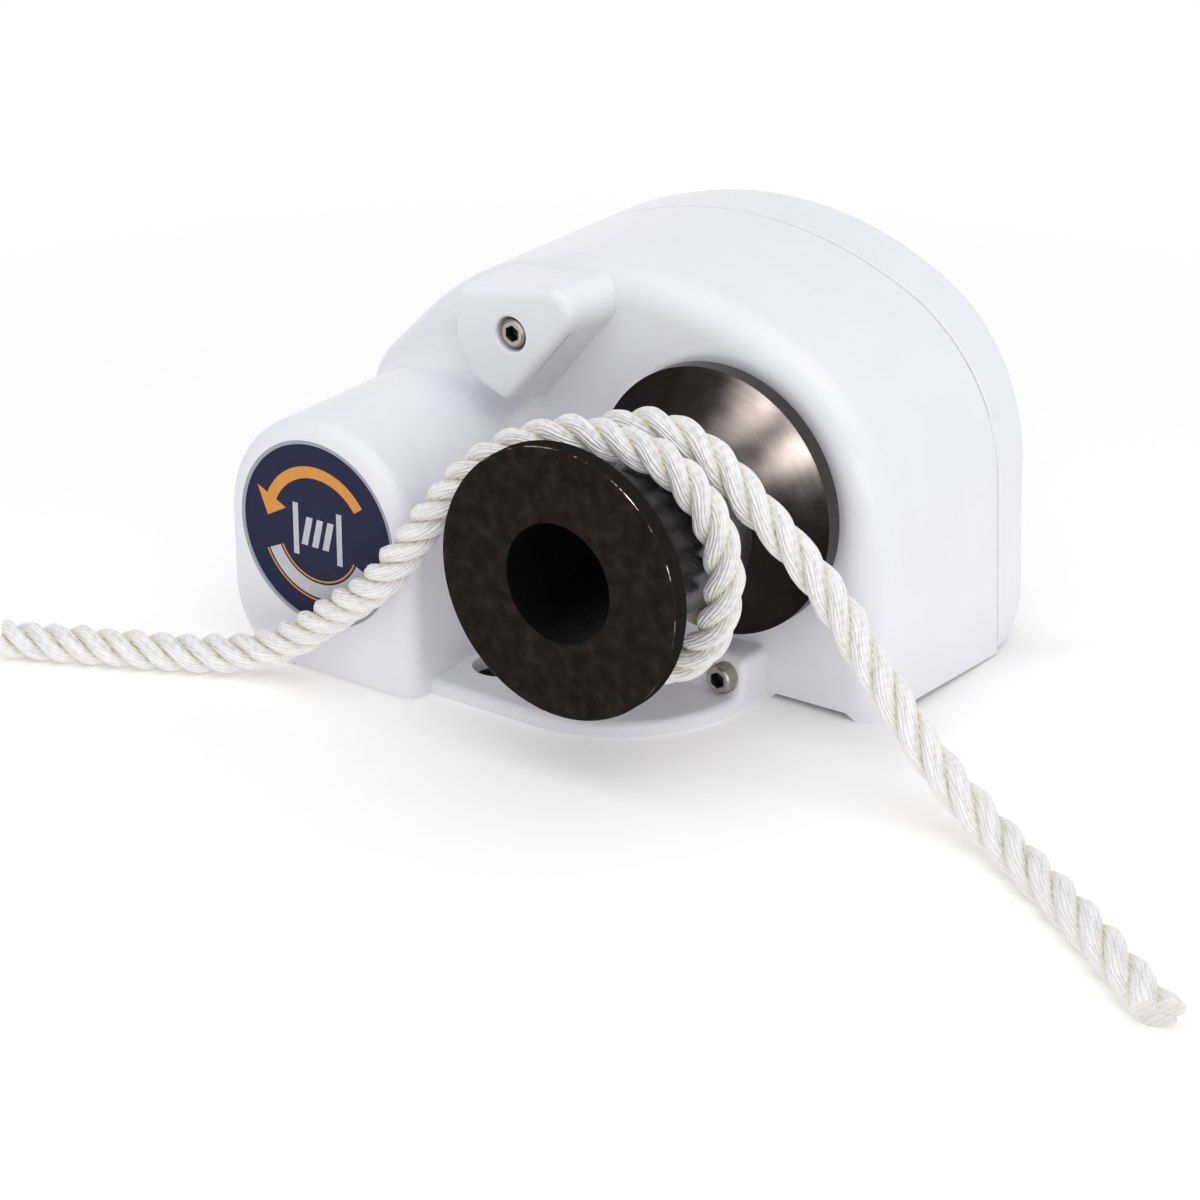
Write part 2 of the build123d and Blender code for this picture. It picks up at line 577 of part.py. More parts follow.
def make_gear_frame():
    for node, (y0, y1) in (("front_gear_plate", FRONT_PLATE_Y), ("rear_gear_plate", REAR_PLATE_Y)):
        plate = slab(outline(GEAR_PLATE, GEAR_PLATE_RADII), y0, y1)
        for centre, radius in ((DRUM, DRUM_SHAFT_R), (IDLER, IDLER_SHAFT_R)):
            plate -= rod(*centre, radius + BUSH_WALL, y0, y1)
        for x, z in STANDOFFS:
            plate -= rod(x, z, STUD_R, y0, y1)
        if node == "front_gear_plate":
            plate -= rod(*MOTOR, 13, y0, y1)
            plate -= rod(*BOSS_SCREW, CAP_SHANK_R, y0, y1)
            for x, z in motor_screw_points():
                plate -= rod(x, z, MOTOR_SCREW_R, y0, y1)
        else:
            for x in MOUNT_X:
                plate -= block(x - NUT_R - 1.5, x + NUT_R + 1.5, y0, y1, 0, BASE_THICK + NUT_HEIGHT + 1.5)
        save(plate, node)
    posts = [ring(x, z, STANDOFF_R, STUD_R, FRONT_PLATE_Y[1], REAR_PLATE_Y[0]) for x, z in STANDOFFS]
    save(group(posts), "gear_plate_standoffs")
    screws = [cap_screw(x, z, FRONT_PLATE_Y[0], PLATE_SCREW_LONG, STUD_R, *PLATE_SCREW_HEAD) for x, z in STANDOFFS]
    save(group(screws), "gear_plate_screws")
    feet = []
    for x in BRACKET_X:
        for y, wall_y in ((FRONT_PLATE_Y[1], FRONT_PLATE_Y[1]),
                          (REAR_PLATE_Y[0] - BRACKET_LONG, REAR_PLATE_Y[0] - BRACKET_THICK)):
            x0, x1 = x - BRACKET_HALF, x + BRACKET_HALF
            flat = block(x0, x1, y, y + BRACKET_LONG, BASE_THICK, BASE_THICK + BRACKET_THICK)
            upright = block(x0, x1, wall_y, wall_y + BRACKET_THICK, BASE_THICK, BASE_THICK + BRACKET_TALL)
            feet.append(flat + upright)
    save(group(feet), "gear_plate_brackets")
    save(bush(DRUM, DRUM_SHAFT_R, FRONT_PLATE_Y[0] - 6, FRONT_PLATE_Y[1] + 3,
              (FRONT_PLATE_Y[0] - 2, FRONT_PLATE_Y[0])), "drum_front_bush")
    save(bush(DRUM, DRUM_SHAFT_R, REAR_PLATE_Y[0] - 6, REAR_PLATE_Y[1],
              (REAR_PLATE_Y[0] - 2, REAR_PLATE_Y[0])), "drum_rear_bush")
    save(bush(IDLER, IDLER_SHAFT_R, *FRONT_PLATE_Y, (FRONT_PLATE_Y[1], FRONT_PLATE_Y[1] + 1.5)),
         "idler_front_bush")
    save(bush(IDLER, IDLER_SHAFT_R, REAR_PLATE_Y[0] - 4, REAR_PLATE_Y[1],
              (REAR_PLATE_Y[0] - 2, REAR_PLATE_Y[0])), "idler_rear_bush")
    inner, lip_r = FRONT_WALL_Y + WALL, SEAL_R - SEAL_LIP
    lip = Polyline((SEAL_R, FRONT_WALL_Y), (SEAL_R, inner), (lip_r, inner), (lip_r, FRONT_WALL_Y + 1.5),
                   (DRUM_SHAFT_R + 0.1, FRONT_WALL_Y + 2.2), (DRUM_SHAFT_R + 0.1, FRONT_WALL_Y), close=True)
    save(turned(lip, *DRUM), "shaft_seal")


# Motor

def motor_screw_points():
    angles = [math.radians(degrees) for degrees in (60, 180, 300)]
    return [(POD_X + MOTOR_SCREW_CIRCLE * math.cos(angle), POD_Z + MOTOR_SCREW_CIRCLE * math.sin(angle))
            for angle in angles]


def make_motor():
    save(ring(*MOTOR, CAN_R, CAN_R - CAN_WALL, *CAN_Y), "motor_can")
    shell = Circle(CAN_R - CAN_WALL) - Circle(CAN_R - CAN_WALL - MAGNET_THICK) - Rectangle(18, 4 * CAN_R)
    save(slab(Pos(*MOTOR) * shell, *MAGNET_Y), "motor_magnets")
    bore = MOTOR_SHAFT_R + BUSH_WALL
    cap = ring(*MOTOR, CAN_R, bore, *DRIVE_CAP_Y)
    for x, z in motor_screw_points():
        cap -= rod(x, z, MOTOR_SCREW_R, *DRIVE_CAP_Y)
    save(cap, "motor_drive_cap")
    y0, y1 = BRUSH_CAP_Y
    cup = rod(*MOTOR, CAN_R, y0, y1)
    cup = fillet(cup.faces().sort_by(Axis.Y)[0].edges(), 5)
    cup -= rod(*MOTOR, CAN_R - 2 * CAN_WALL, y0 + 4, y1)
    save(cup - rod(*MOTOR, bore, y0, y1), "motor_brush_cap")
    for node, (b0, b1) in (("motor_drive_bush", DRIVE_CAP_Y), ("motor_brush_bush", (y0, y0 + 4))):
        save(ring(*MOTOR, bore, MOTOR_SHAFT_R + RUNNING_FIT, b0, b1), node)
    long, y_front, y_back, half = BRUSH
    brush = block(COMMUTATOR_R + 0.1, COMMUTATOR_R + long, y_front, y_back, -half, half)
    save(group(Pos(POD_X, 0, POD_Z) * Rot(0, turn, 0) * brush for turn in (0, 180)), "motor_brushes")
    screws = [Rot(0, 0, 180) * cap_screw(-x, z, -FRONT_PLATE_Y[1], 10, MOTOR_SCREW_R, 3.5, 2.5, 1.8)
              for x, z in motor_screw_points()]
    save(group(screws), "motor_screws")

    save(rod(*MOTOR, MOTOR_SHAFT_R, y0 + 1, STAGE_1_Y[1] + 3), "motor_shaft")
    fit = MOTOR_SHAFT_R + SLIP_FIT
    slot = Pos(ARMATURE_R - 4, 0) * Rectangle(9, 3)
    slots = [Rot(0, 0, 360 * n / ARMATURE_SLOTS) * slot for n in range(ARMATURE_SLOTS)]
    core = Circle(ARMATURE_R) - Circle(fit) - slots
    save(slab(Pos(*MOTOR) * core, *ARMATURE_Y), "armature")
    save(ring(*MOTOR, COMMUTATOR_R, fit, *COMMUTATOR_Y), "commutator")
    save(gear(MOTOR, MOTOR_PINION_TEETH, STAGE_1_MODULE, MOTOR_PINION_PHASE, fit, STAGE_1_Y[0] - 1,
              STAGE_1_Y[1] + 1), "motor_pinion")


# Rope

def turn_point(share):
    """A point of the rope's turn on the drum, which hangs a little slack under it."""
    angle = math.radians(TURN_START[0] + share * (TURN_END[0] - TURN_START[0]))
    y = TURN_START[1] + share * (TURN_END[1] - TURN_START[1])
    radius = TURN_R + TURN_SAG * max(0, -math.sin(angle)) ** 2
    return Vector(DRUM_X + radius * math.cos(angle), y, DRUM_Z + radius * math.sin(angle))


def turn_tangent(share):
    step = 1e-4
    return (turn_point(share + step) - turn_point(share - step)).normalized()


def biarc(start, start_way, end, end_way):
    """Two arcs that join two points with given directions, and share a tangent where they meet."""
    across, ways = end - start, start_way + end_way
    spread = 2 * (1 - start_way.dot(end_way))
    reach = (math.sqrt(across.dot(ways) ** 2 + spread * across.dot(across)) - across.dot(ways)) / spread
    before, after = start + start_way * reach, end - end_way * reach
    middle = (before + after) / 2
    return [TangentArc(start, middle, tangent=start_way), TangentArc(middle, end, tangent=after - before)]


def tube(path):
    section = Plane(origin=path @ 0, z_dir=path % 0) * Circle(ROPE_R)
    return sweep(section, path=path)


def make_rope_turns():
    """The rope from the straight stretch beside the pod, up over the drum, round it and off to the right."""
    shares = [n / TURN_STEPS for n in range(TURN_STEPS + 1)]
    stations = [(Vector(*point), Vector(*way).normalized()) for point, way in DROP]
    stations += [(turn_point(share), turn_tangent(share)) for share in shares]
    (begin, first_way), (finish, last_way) = stations[0], stations[-1]
    first, last = begin - first_way * LEAD, finish + last_way * LEAD
    arcs = []
    for here, there in zip(stations, stations[1:]):
        arcs += biarc(*here, *there)
    path = Wire([Line(first, begin)] + arcs + [Line(finish, last)])
    solid = tube(path)
    print("rope_turns radii", [round(arc.radius) for arc in arcs], "length", round(path.length, 1),
          "volume share", round(solid.volume / (math.pi * ROPE_R ** 2 * path.length), 4))
    save(solid, "rope_turns")
    return first, first_way, last, last_way


def free_stretch(node, start, way, points):
    """A free stretch of the rope: straight runs joined by arcs as large as the runs allow."""
    square = start + way * (Vector(*points[0]) - start).length
    route = [start, square] + [Vector(*point) for point in points[1:]]
    radii = []
    for before, here, after in zip(route, route[1:], route[2:]):
        turn = math.radians((here - before).get_angle(after - here))
        shorter = min((here - before).length, (after - here).length)
        radii.append(ROUND_SHARE * shorter / math.tan(turn / 2))
    path = FilletPolyline(*route, radius=radii)
    solid = tube(path)
    print(node, "radii", [round(radius) for radius in radii], "length", round(path.length, 1),
          "volume share", round(solid.volume / (math.pi * ROPE_R ** 2 * path.length), 4))
    print(node, "second point", [round(value, 2) for value in square])
    save(solid, node)


def make_rope():
    first, first_way, last, last_way = make_rope_turns()
    free_stretch("rope_tail", first, -first_way, TAIL_POINTS)
    free_stretch("rope_load", last, last_way, LOAD_POINTS)
    steps = 400
    line = [turn_point(n / steps) for n in range(steps + 1)]
    apart = min((a - b).length for i, a in enumerate(line) for b in line[i + steps // 2:])
    print("rope turns, least gap to itself", round(apart - 2 * ROPE_R, 2))


make_housing()
make_output_shaft()
make_idler()
make_gear_frame()
make_motor()
make_rope()
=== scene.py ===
import json
import math

import bmesh
import bpy
import numpy as np
from bpy.props import FloatProperty, FloatVectorProperty, IntProperty, PointerProperty
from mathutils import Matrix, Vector


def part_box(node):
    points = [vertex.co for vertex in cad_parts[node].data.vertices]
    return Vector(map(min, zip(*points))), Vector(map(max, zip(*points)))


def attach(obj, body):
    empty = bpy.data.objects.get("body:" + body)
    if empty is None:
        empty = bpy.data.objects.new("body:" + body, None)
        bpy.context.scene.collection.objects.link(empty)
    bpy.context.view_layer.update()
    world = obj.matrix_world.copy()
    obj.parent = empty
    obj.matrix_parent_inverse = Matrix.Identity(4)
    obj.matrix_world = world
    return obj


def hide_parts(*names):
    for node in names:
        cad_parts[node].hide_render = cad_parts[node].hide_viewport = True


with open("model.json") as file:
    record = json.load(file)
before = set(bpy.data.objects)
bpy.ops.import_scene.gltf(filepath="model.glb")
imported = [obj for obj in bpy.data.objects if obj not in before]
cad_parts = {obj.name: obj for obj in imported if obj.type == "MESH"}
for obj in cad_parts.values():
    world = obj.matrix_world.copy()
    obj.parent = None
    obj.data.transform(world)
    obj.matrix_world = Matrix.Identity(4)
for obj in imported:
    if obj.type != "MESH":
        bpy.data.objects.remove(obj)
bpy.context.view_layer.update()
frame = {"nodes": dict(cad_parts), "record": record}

bl_info = {
    "name": "Capstan Winch",
    "version": (1, 0, 0),
    "blender": (4, 5, 0),
    "location": "View3D > Sidebar > Winch",
    "description": "Dresses a rope capstan winch: moulded covers, turned drum, label, screws and laid rope",
    "category": "Object",
}

MM = 0.001
MERGE_DISTANCE = 0.001 * MM


def integer(name, description, default):
    return IntProperty(name=name, description=description, default=default)


def decimal(name, description, default, **kind):
    return FloatProperty(name=name, description=description, default=default, **kind)


def metres(name, description, default):
    return decimal(name, description, default, unit="LENGTH")


def degrees(name, description, default):
    return decimal(name, description, math.radians(default), subtype="ANGLE")


def decimals(name, description, default, **kind):
    return FloatVectorProperty(name=name, description=description, default=default, **kind)


def tint(name, description, default):
    return decimals(name, description, default, subtype="COLOR")


class CameraSettings(bpy.types.PropertyGroup):
    azimuth: degrees("Azimuth", "Turn of the camera to the right of the front", 36.222)
    elevation: degrees("Elevation", "Height of the camera above the horizon", 23.811)
    distance: metres("Distance", "From the camera to the point it looks at", 1.30905)
    target: decimals("Target", "The point the camera looks at", (-0.00464, 0.0009, 0.01641),
                     subtype="TRANSLATION")
    lens: decimal("Lens", "Focal length on a 36 mm sensor, in millimetres", 118.48)


class StageSettings(bpy.types.PropertyGroup):
    floor_colour: tint("Floor", "Colour of the floor near the winch", (0.95, 0.94, 0.905))
    floor_size: metres("Floor size", "Half the floor's side", 6.0)
    floor_lift: decimal("Floor lift", "Glow that brings the open floor up to white", 0.2)
    floor_fade: decimals("Floor fade", "Distances over which the floor turns white", (0.22, 0.55),
                         unit="LENGTH", size=2)
    sky: decimal("Sky", "Strength of the even light from all round", 0.58)


class HousingSettings(bpy.types.PropertyGroup):
    colour: tint("Colour", "White of the mouldings", (0.876, 0.874, 0.912))
    roughness: decimal("Roughness", "Roughness of the gloss finish", 0.2)


class DrumSettings(bpy.types.PropertyGroup):
    segments: integer("Segments", "Steps round the turned drum", 192)
    edge: metres("Edge", "Radius of the flanges' edges", 0.4 * MM)
    face: tint("Face", "Worn black of the front face", (0.0225, 0.0172, 0.0152))
    flare: tint("Flare", "Polished dark metal that the rope runs on", (0.015, 0.0128, 0.0112))


class LabelSettings(bpy.types.PropertyGroup):
    ground: tint("Ground", "Dark blue of the round plate", (0.019, 0.025, 0.075))
    light: tint("Light", "Pale grey of the print", (0.55, 0.56, 0.6))
    accent: tint("Accent", "Orange of the print", (0.72, 0.29, 0.03))


class ScrewSettings(bpy.types.PropertyGroup):
    ridges: integer("Ridges", "Ridges round a knurled head", 40)
    ridge: metres("Ridge", "Radius of one ridge", 0.22 * MM)
    steel: tint("Steel", "Warm stainless steel", (0.46, 0.425, 0.37))


class RopeSettings(bpy.types.PropertyGroup):
    diameter: metres("Diameter", "Diameter over the three strands", 12.7 * MM)
    yarns: integer("Yarns", "Yarns that show round the rope", 30)
    yarn_depth: metres("Yarn depth", "Depth of the valleys between yarns", 0.27 * MM)
    ring_step: metres("Ring step", "Distance between rings along the rope", 0.75 * MM)
    columns: integer("Columns", "Points round one ring, a whole number for each yarn", 180)
    crest: tint("Crest", "Nylon on the strands' crests", (0.95, 0.938, 0.905))
    # painted shade: the colour of the nylon deep in the grooves between the strands and in the valleys
    # between the yarns
    deep: tint("Groove", "Nylon deep between the strands", (0.80, 0.765, 0.62))


# Shared helpers

# Most of a noise texture's values lie between these
NOISE_RANGE = (0.3, 0.7)


def add_object(name, data):
    obj = bpy.data.objects.new(name, data)
    bpy.context.scene.collection.objects.link(obj)
    return obj


def piece(name, mesh, body, slot, *nodes):
    """Hands over a finished mesh, which rides on a body and stands for construction nodes."""
    obj = add_object(name, mesh)
    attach(obj, body)
    if nodes:
        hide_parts(*nodes)
    return obj


def plain_mesh(obj):
    """Turns an object with modifiers into a plain mesh."""
    depsgraph = bpy.context.evaluated_depsgraph_get()
    mesh = bpy.data.meshes.new_from_object(obj.evaluated_get(depsgraph))
    bpy.data.objects.remove(obj)
    return mesh


def smooth_outside(mesh, sharp_angle, merge=0.0):
    """Turns a mesh's faces outward and shades it smooth but for its sharp edges."""
    work = bmesh.new()
    work.from_mesh(mesh)
    if merge:
        bmesh.ops.remove_doubles(work, verts=work.verts, dist=merge)
    bmesh.ops.recalc_face_normals(work, faces=work.faces)
    work.to_mesh(mesh)
    work.free()
    mesh.shade_smooth()
    mesh.set_sharp_from_angle(angle=math.radians(sharp_angle))
    return mesh


def closed_mesh(name, verts, faces, zones=None, sharp_angle=30):
    """A mesh with merged doubles, outward faces and a material number for each face."""
    mesh = bpy.data.meshes.new(name)
    mesh.from_pydata(verts, [], faces)
    if zones is not None:
        mesh.polygons.foreach_set("material_index", zones)
    return smooth_outside(mesh, sharp_angle, MERGE_DISTANCE)


def polar(radius, angle):
    return (radius * math.cos(angle), radius * math.sin(angle))


def band(here, there, count):
    """Faces between two closed rings, by the numbers of their first points."""
    pairs = [(step, (step + 1) % count) for step in range(count)]
    return [(here + step, here + after, there + after, there + step) for step, after in pairs]


def add_node(tree, kind, inputs=(), **values):
    """A node with its properties set, and each input either linked or given a value."""
    made = tree.nodes.new(kind)
    for key, value in values.items():
        setattr(made, key, value)
    for socket, value in dict(inputs).items():
        if isinstance(value, bpy.types.NodeSocket):
            tree.links.new(value, made.inputs[socket])
        else:
            made.inputs[socket].default_value = value
    return made


def grey(level):
    return (level, level, level)


def tinted(colour, factor):
    return tuple(channel * factor for channel in colour)


class Finish:
    """A material being made: its shader, and nodes that are added and linked one at a time."""

    def __init__(self, name, colour, roughness, metallic=0.0, specular=0.5):
        self.material = bpy.data.materials.new(name)
        self.material.use_nodes = True
        self.tree = self.material.node_tree
        self.shader = self.tree.nodes["Principled BSDF"]
        self.set("Base Color", (*colour, 1))
        self.set("Roughness", roughness)
        self.set("Metallic", metallic)
        self.set("Specular IOR Level", specular)

    def set(self, socket, value):
        self.shader.inputs[socket].default_value = value

    def node(self, kind, inputs=(), **values):
        return add_node(self.tree, "ShaderNode" + kind, inputs, **values)

    def into(self, socket, output):
        self.tree.links.new(output, self.shader.inputs[socket])

    def math(self, operation, first, second=0.0):
        return self.node("Math", {0: first, 1: second}, operation=operation).outputs[0]

    def vector(self, operation, first, second):
        return self.node("VectorMath", {0: first, 1: second}, operation=operation).outputs["Vector"]

    def place(self, stretch=(1, 1, 1), centre=(0, 0, 0)):
        """Object coordinates about a centre, stretched along the axes."""
        where = self.node("TexCoord").outputs["Object"]
        return self.vector("MULTIPLY", self.vector("SUBTRACT", where, centre), stretch)

    def distance(self, *about):
        return self.node("VectorMath", {0: self.place(*about)}, operation="LENGTH").outputs["Value"]

    def noise(self, where, scale, detail):
        return self.node("TexNoise", {"Vector": where, "Scale": scale, "Detail": detail}).outputs["Fac"]

    def span(self, value, low, high, to_low=0.0, to_high=1.0, **values):
        inputs = {"Value": value, "From Min": low, "From Max": high, "To Min": to_low, "To Max": to_high}
        return self.node("MapRange", inputs, **values).outputs["Result"]

    def over_noise(self, noise, to_low, to_high):
        """A value that follows a noise."""
        return self.span(noise, *NOISE_RANGE, to_low, to_high)

    def rough(self, noise, low, high):
        self.into("Roughness", self.over_noise(noise, low, high))

    def paint(self, value, *stops):
        """Colours the surface by a ramp through (place, colour) stops."""
        made = self.node("ValToRGB", {"Fac": value})
        elements = made.color_ramp.elements
        while len(elements) < len(stops):
            elements.new(0.5)
        for element, (place, colour) in zip(elements, stops):
            element.position = place
            element.color = (*colour, 1)
        self.into("Base Color", made.outputs["Color"])

    def tones(self, value, colour, *stops):
        """Colours the surface with darker and lighter tones of one colour, at (place, factor) stops."""
        self.paint(value, *((place, tinted(colour, factor)) for place, factor in stops))

    def bump(self, height, distance):
        self.into("Normal", self.node("Bump", {"Height": height, "Distance": distance}).outputs["Normal"])


def grained(name, colour, roughness, metallic, scale, stretch=(1, 1, 1), spread=0.12, relief=0.02,
            specular=0.5):
    """A finish whose grain shifts colour, roughness and surface: scale per metre, relief in millimetres."""
    finish = Finish(name, colour, roughness, metallic, specular)
    grain = finish.noise(finish.place(stretch), scale, detail=4.0)
    finish.tones(grain, colour, *zip(NOISE_RANGE, (1 - spread, 1 + spread)))
    finish.rough(grain, roughness * 0.8, roughness * 1.2)
    finish.bump(grain, relief * MM)
    return finish.material


# Camera and stage: directions in degrees, with the azimuth counted from the front to the right

SENSOR_WIDTH = 36
CLIP = (0.05, 50)
STUDIO_TINT = (0.95, 0.955, 1.0)
FLOOR_ROUGHNESS = 0.9

# Lamps: azimuth, elevation, size in metres, and level
LAMPS = [("overhead", 20, 72, (2.0, 2.0), 0.36),
         ("right_key", 72, 55, (1.4, 1.2), 0.16),
         ("front_fill", 52, 9, (0.9, 0.5), 0.1)]
LAMP_DISTANCE = 1.5

# Panels that light the drum's gloss alone, and that nothing but the floor can hide
GLOSS_PANELS = [("gloss_low", -4, -3, (0.17, 0.17), 17.0),
                ("gloss_high", -18, 7, (0.17, 0.17), 9.0)]
GLOSS_DISTANCE = 1.2
GLOSS_ABOUT = (0.083, -0.01, 0.09)
GLOSS_ON = "polished_pieces"
GLOSS_BLOCKERS = "gloss_blockers"

# The floor's glow fades out towards the winch, which paints a deeper contact shade round it, and the floor
# is painted near black below the drain hole, as shade seen through the hole, in metres
COVERED_BY = "base_plate"
COVERED_FADE = 0.03
DRAIN_CENTRE = (-0.0153, -0.04, 0)
DRAIN_HALF = (0.012, 0.012)
DRAIN_EDGE = 0.002
DRAIN_PAINTED_SHADE = (0.02, 0.019, 0.017)


class WINCH_OT_stage(bpy.types.Operator):
    """Sets up the camera, the lamps, the sky and the floor"""
    bl_idname = "winch.stage"
    bl_label = "Stage"

    def execute(self, context):
        scene = context.scene
        scene.view_settings.view_transform = "Standard"
        place_camera(scene)
        make_floor(scene.winch_stage)
        make_sky(scene)
        for lamp in LAMPS:
            softbox(*lamp, LAMP_DISTANCE)
        lit = bpy.data.collections.new(GLOSS_ON)
        in_the_way = bpy.data.collections.new(GLOSS_BLOCKERS)
        in_the_way.objects.link(bpy.data.objects["floor"])
        for lamp in GLOSS_PANELS:
            panel = softbox(*lamp, GLOSS_DISTANCE, GLOSS_ABOUT)
            panel.visible_diffuse = False
            panel.light_linking.receiver_collection = lit
            panel.light_linking.blocker_collection = in_the_way
        return {"FINISHED"}


def toward(azimuth, elevation):
    """A direction from the object, by angles in radians."""
    flat = math.cos(elevation)
    return Vector((math.sin(azimuth) * flat, -math.cos(azimuth) * flat, math.sin(elevation)))


def place_camera(scene):
    settings = scene.winch_camera
    data = bpy.data.cameras.new("camera")
    data.sensor_width = SENSOR_WIDTH
    data.lens = settings.lens
    data.clip_start, data.clip_end = CLIP
    camera = add_object("camera", data)
    back = toward(settings.azimuth, settings.elevation)
    camera.location = Vector(settings.target) + back * settings.distance
    camera.rotation_mode = "QUATERNION"
    camera.rotation_quaternion = (-back).to_track_quat("-Z", "Y")
    scene.camera = camera


def seen_directly(tree):
    """One where a ray comes from the camera, a mirror or glass, and nought where it lights a surface."""
    path = add_node(tree, "ShaderNodeLightPath").outputs
    total = path["Is Camera Ray"]
    for kind in ("Is Glossy Ray", "Is Transmission Ray"):
        total = add_node(tree, "ShaderNodeMath", {0: total, 1: path[kind]}, operation="MAXIMUM").outputs[0]
    return total


def clear_of(finish, centre, half):
    """How far a place on the floor lies outside a rectangle."""
    across, along, _ = finish.node("SeparateXYZ", {0: finish.place(centre=centre)}).outputs
    beside = finish.math("SUBTRACT", finish.math("ABSOLUTE", across), half[0])
    before = finish.math("SUBTRACT", finish.math("ABSOLUTE", along), half[1])
    return finish.math("MAXIMUM", beside, before)


def make_floor(settings):
    """A pale floor that keeps the winch's shadow, glows a little but less near the winch as painted contact
    shade, is painted near black below the drain hole as shade, and turns plain white further out.
    """
    side = settings.floor_size
    corners = [(-side, -side, 0), (side, -side, 0), (side, side, 0), (-side, side, 0)]
    mesh = bpy.data.meshes.new("floor")
    mesh.from_pydata(corners, [], [(0, 1, 2, 3)])
    pale = tuple(settings.floor_colour)
    white = Finish("floor_white", pale, FLOOR_ROUGHNESS, specular=0.0)
    # painted shade: a near-black patch below the drain hole, seen through it
    beside_drain = white.span(clear_of(white, DRAIN_CENTRE, DRAIN_HALF), 0.0, DRAIN_EDGE)
    white.paint(beside_drain, (0.0, DRAIN_PAINTED_SHADE), (1.0, pale))
    low, high = (Vector(corner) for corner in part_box(COVERED_BY))
    beside_winch = clear_of(white, (low + high) / 2, (high - low) / 2)
    # painted shade: the glow dies out under and next to the winch, so its contact shade comes out deeper
    lift = white.span(beside_winch, 0.0, COVERED_FADE, 0.0, settings.floor_lift)
    lift = white.math("MULTIPLY", lift, beside_drain)
    glow = white.node("Emission", {"Strength": lift})
    near = white.node("AddShader", {0: white.shader.outputs[0], 1: glow.outputs[0]})
    fade = white.span(white.distance((1, 1, 0)), *settings.floor_fade, interpolation_type="SMOOTHSTEP")
    share = white.math("MULTIPLY", fade, seen_directly(white.tree))
    plain = white.node("Emission", {"Strength": 1.0})
    both = white.node("MixShader", {"Fac": share, 1: near.outputs[0], 2: plain.outputs[0]})
    white.tree.links.new(both.outputs[0], white.tree.nodes["Material Output"].inputs["Surface"])
    mesh.materials.append(white.material)
    add_object("floor", mesh)


def make_sky(scene):
    """An even light from all round, which shows itself as plain white."""
    world = bpy.data.worlds.new("studio")
    scene.world = world
    world.use_nodes = True
    tree = world.node_tree
    light = tree.nodes["Background"]
    light.inputs["Color"].default_value = (*STUDIO_TINT, 1)
    light.inputs["Strength"].default_value = scene.winch_stage.sky
    shown = add_node(tree, "ShaderNodeBackground", {"Color": (1, 1, 1, 1), "Strength": 1.0})
    both = add_node(tree, "ShaderNodeMixShader",
                    {"Fac": seen_directly(tree), 1: light.outputs[0], 2: shown.outputs[0]})
    tree.links.new(both.outputs[0], tree.nodes["World Output"].inputs["Surface"])


def softbox(name, azimuth, elevation, size, level, distance, about=(0, 0, 0)):
    """A lamp in a direction about a place, which gives a surface facing it a share of full light."""
    data = bpy.data.lights.new(name, "AREA")
    data.shape = "RECTANGLE"
    data.size, data.size_y = size
    data.color = STUDIO_TINT
    data.energy = level * (math.pi * distance) ** 2
    lamp = add_object(name, data)
    way = toward(math.radians(azimuth), math.radians(elevation))
    lamp.location = Vector(about) + way * distance
    lamp.rotation_euler = (-way).to_track_quat("-Z", "Y").to_euler()
    return lamp


# Rope: a three-strand laid rope along its route, in millimetres

DRUM_CENTRE = (46.5, 67.5)
TURN_RADIUS = 34.35
TURN_SAG = 8.0
TURN_STEPS = 25

# Angle in degrees and Y at both ends of the turn on the drum
TURN_START = (84.0, -55.5)
TURN_END = (-311.0, -36.5)

TAIL_ROUTE = [(-158, -122.5, 6.4), (-136, -112, 6.4), (-115, -102, 6.4), (-94, -91.8, 6.4),
              (-72, -82.5, 11.8), (-52, -80.5, 28), (-31, -81.2, 44), (-20.2, -79.3, 59.6)]
DROP_ROUTE = [(2.1, -72.6, 91.7), (27.7, -60.2, 104)]
LOAD_ROUTE = [(78.6, -35.5, 85.1), (105, -32.7, 62.1), (133, -40.5, 37.5), (158, -46.5, 17.5),
              (181, -53, 7.4), (204, -67.5, 6.4), (232, -86, 6.4), (270, -115.5, 6.4)]
ROUTE_RESOLUTION = 24

# Length of one lay along the rope, by the share of the rope's length
LAY_BY_SHARE = [(0.0, 26.5), (0.2, 28.5), (0.35, 32.0), (0.6, 37.0), (0.78, 41.0), (1.0, 57.0)]
HAND = -1.0
THIRD = math.tau / 3

# Strand radius at both ends of the rope, as a share of the rope's radius
STRAND_WIDTH = (0.58, 0.60)
GROOVE_DEPTH = 0.5
GROOVE_WIDTH = math.radians(11)

# The painted shade in the grooves starts at this share of the way from a strand's crest, and deepens by this
# power
SHADE_FROM = 0.35
SHADE_POWER = 1.4

# How far the yarns turn along with the strands
YARN_SHARE = 0.45
YARN_SWELL = 0.11
YARN_PITCHES = (9, 24)
YARN_SEED = 5
YARN_WANDER = 0.14
YARN_TWIST = 3.0

# Waves of stray yarns, as counts round the rope and pitches, and of uneven strands, as pitches and leads
WANDER_WAVES = [(4, 23.0), (7, -17.0), (10, 13.0)]
STRAND_WAVES = [(31, 2.1), (17, 1.0)]
STRAND_SWELL = 0.12

END_FLARE = 0.07
END_FLARE_LONG = 7.0
END_SLANT = (0.6, 0.5)
END_SLANT_LONG = 12.0
FLOOR_GAP = 0.02
ROPE_SHARP = 65

# Cut ends: rings as shares of the rope's radius, and fibre lines per millimetre both ways
CAP_RINGS = (0.8, 0.55, 0.3)
CAP_DIP = 0.2
# Painted shade on the cut ends: a step towards the groove colour, and more in the dips between the strands
CAP_SHADE = 0.5
CAP_GROOVE_SHADE = 0.2
CAP_LINES = (1.5, 2.0)
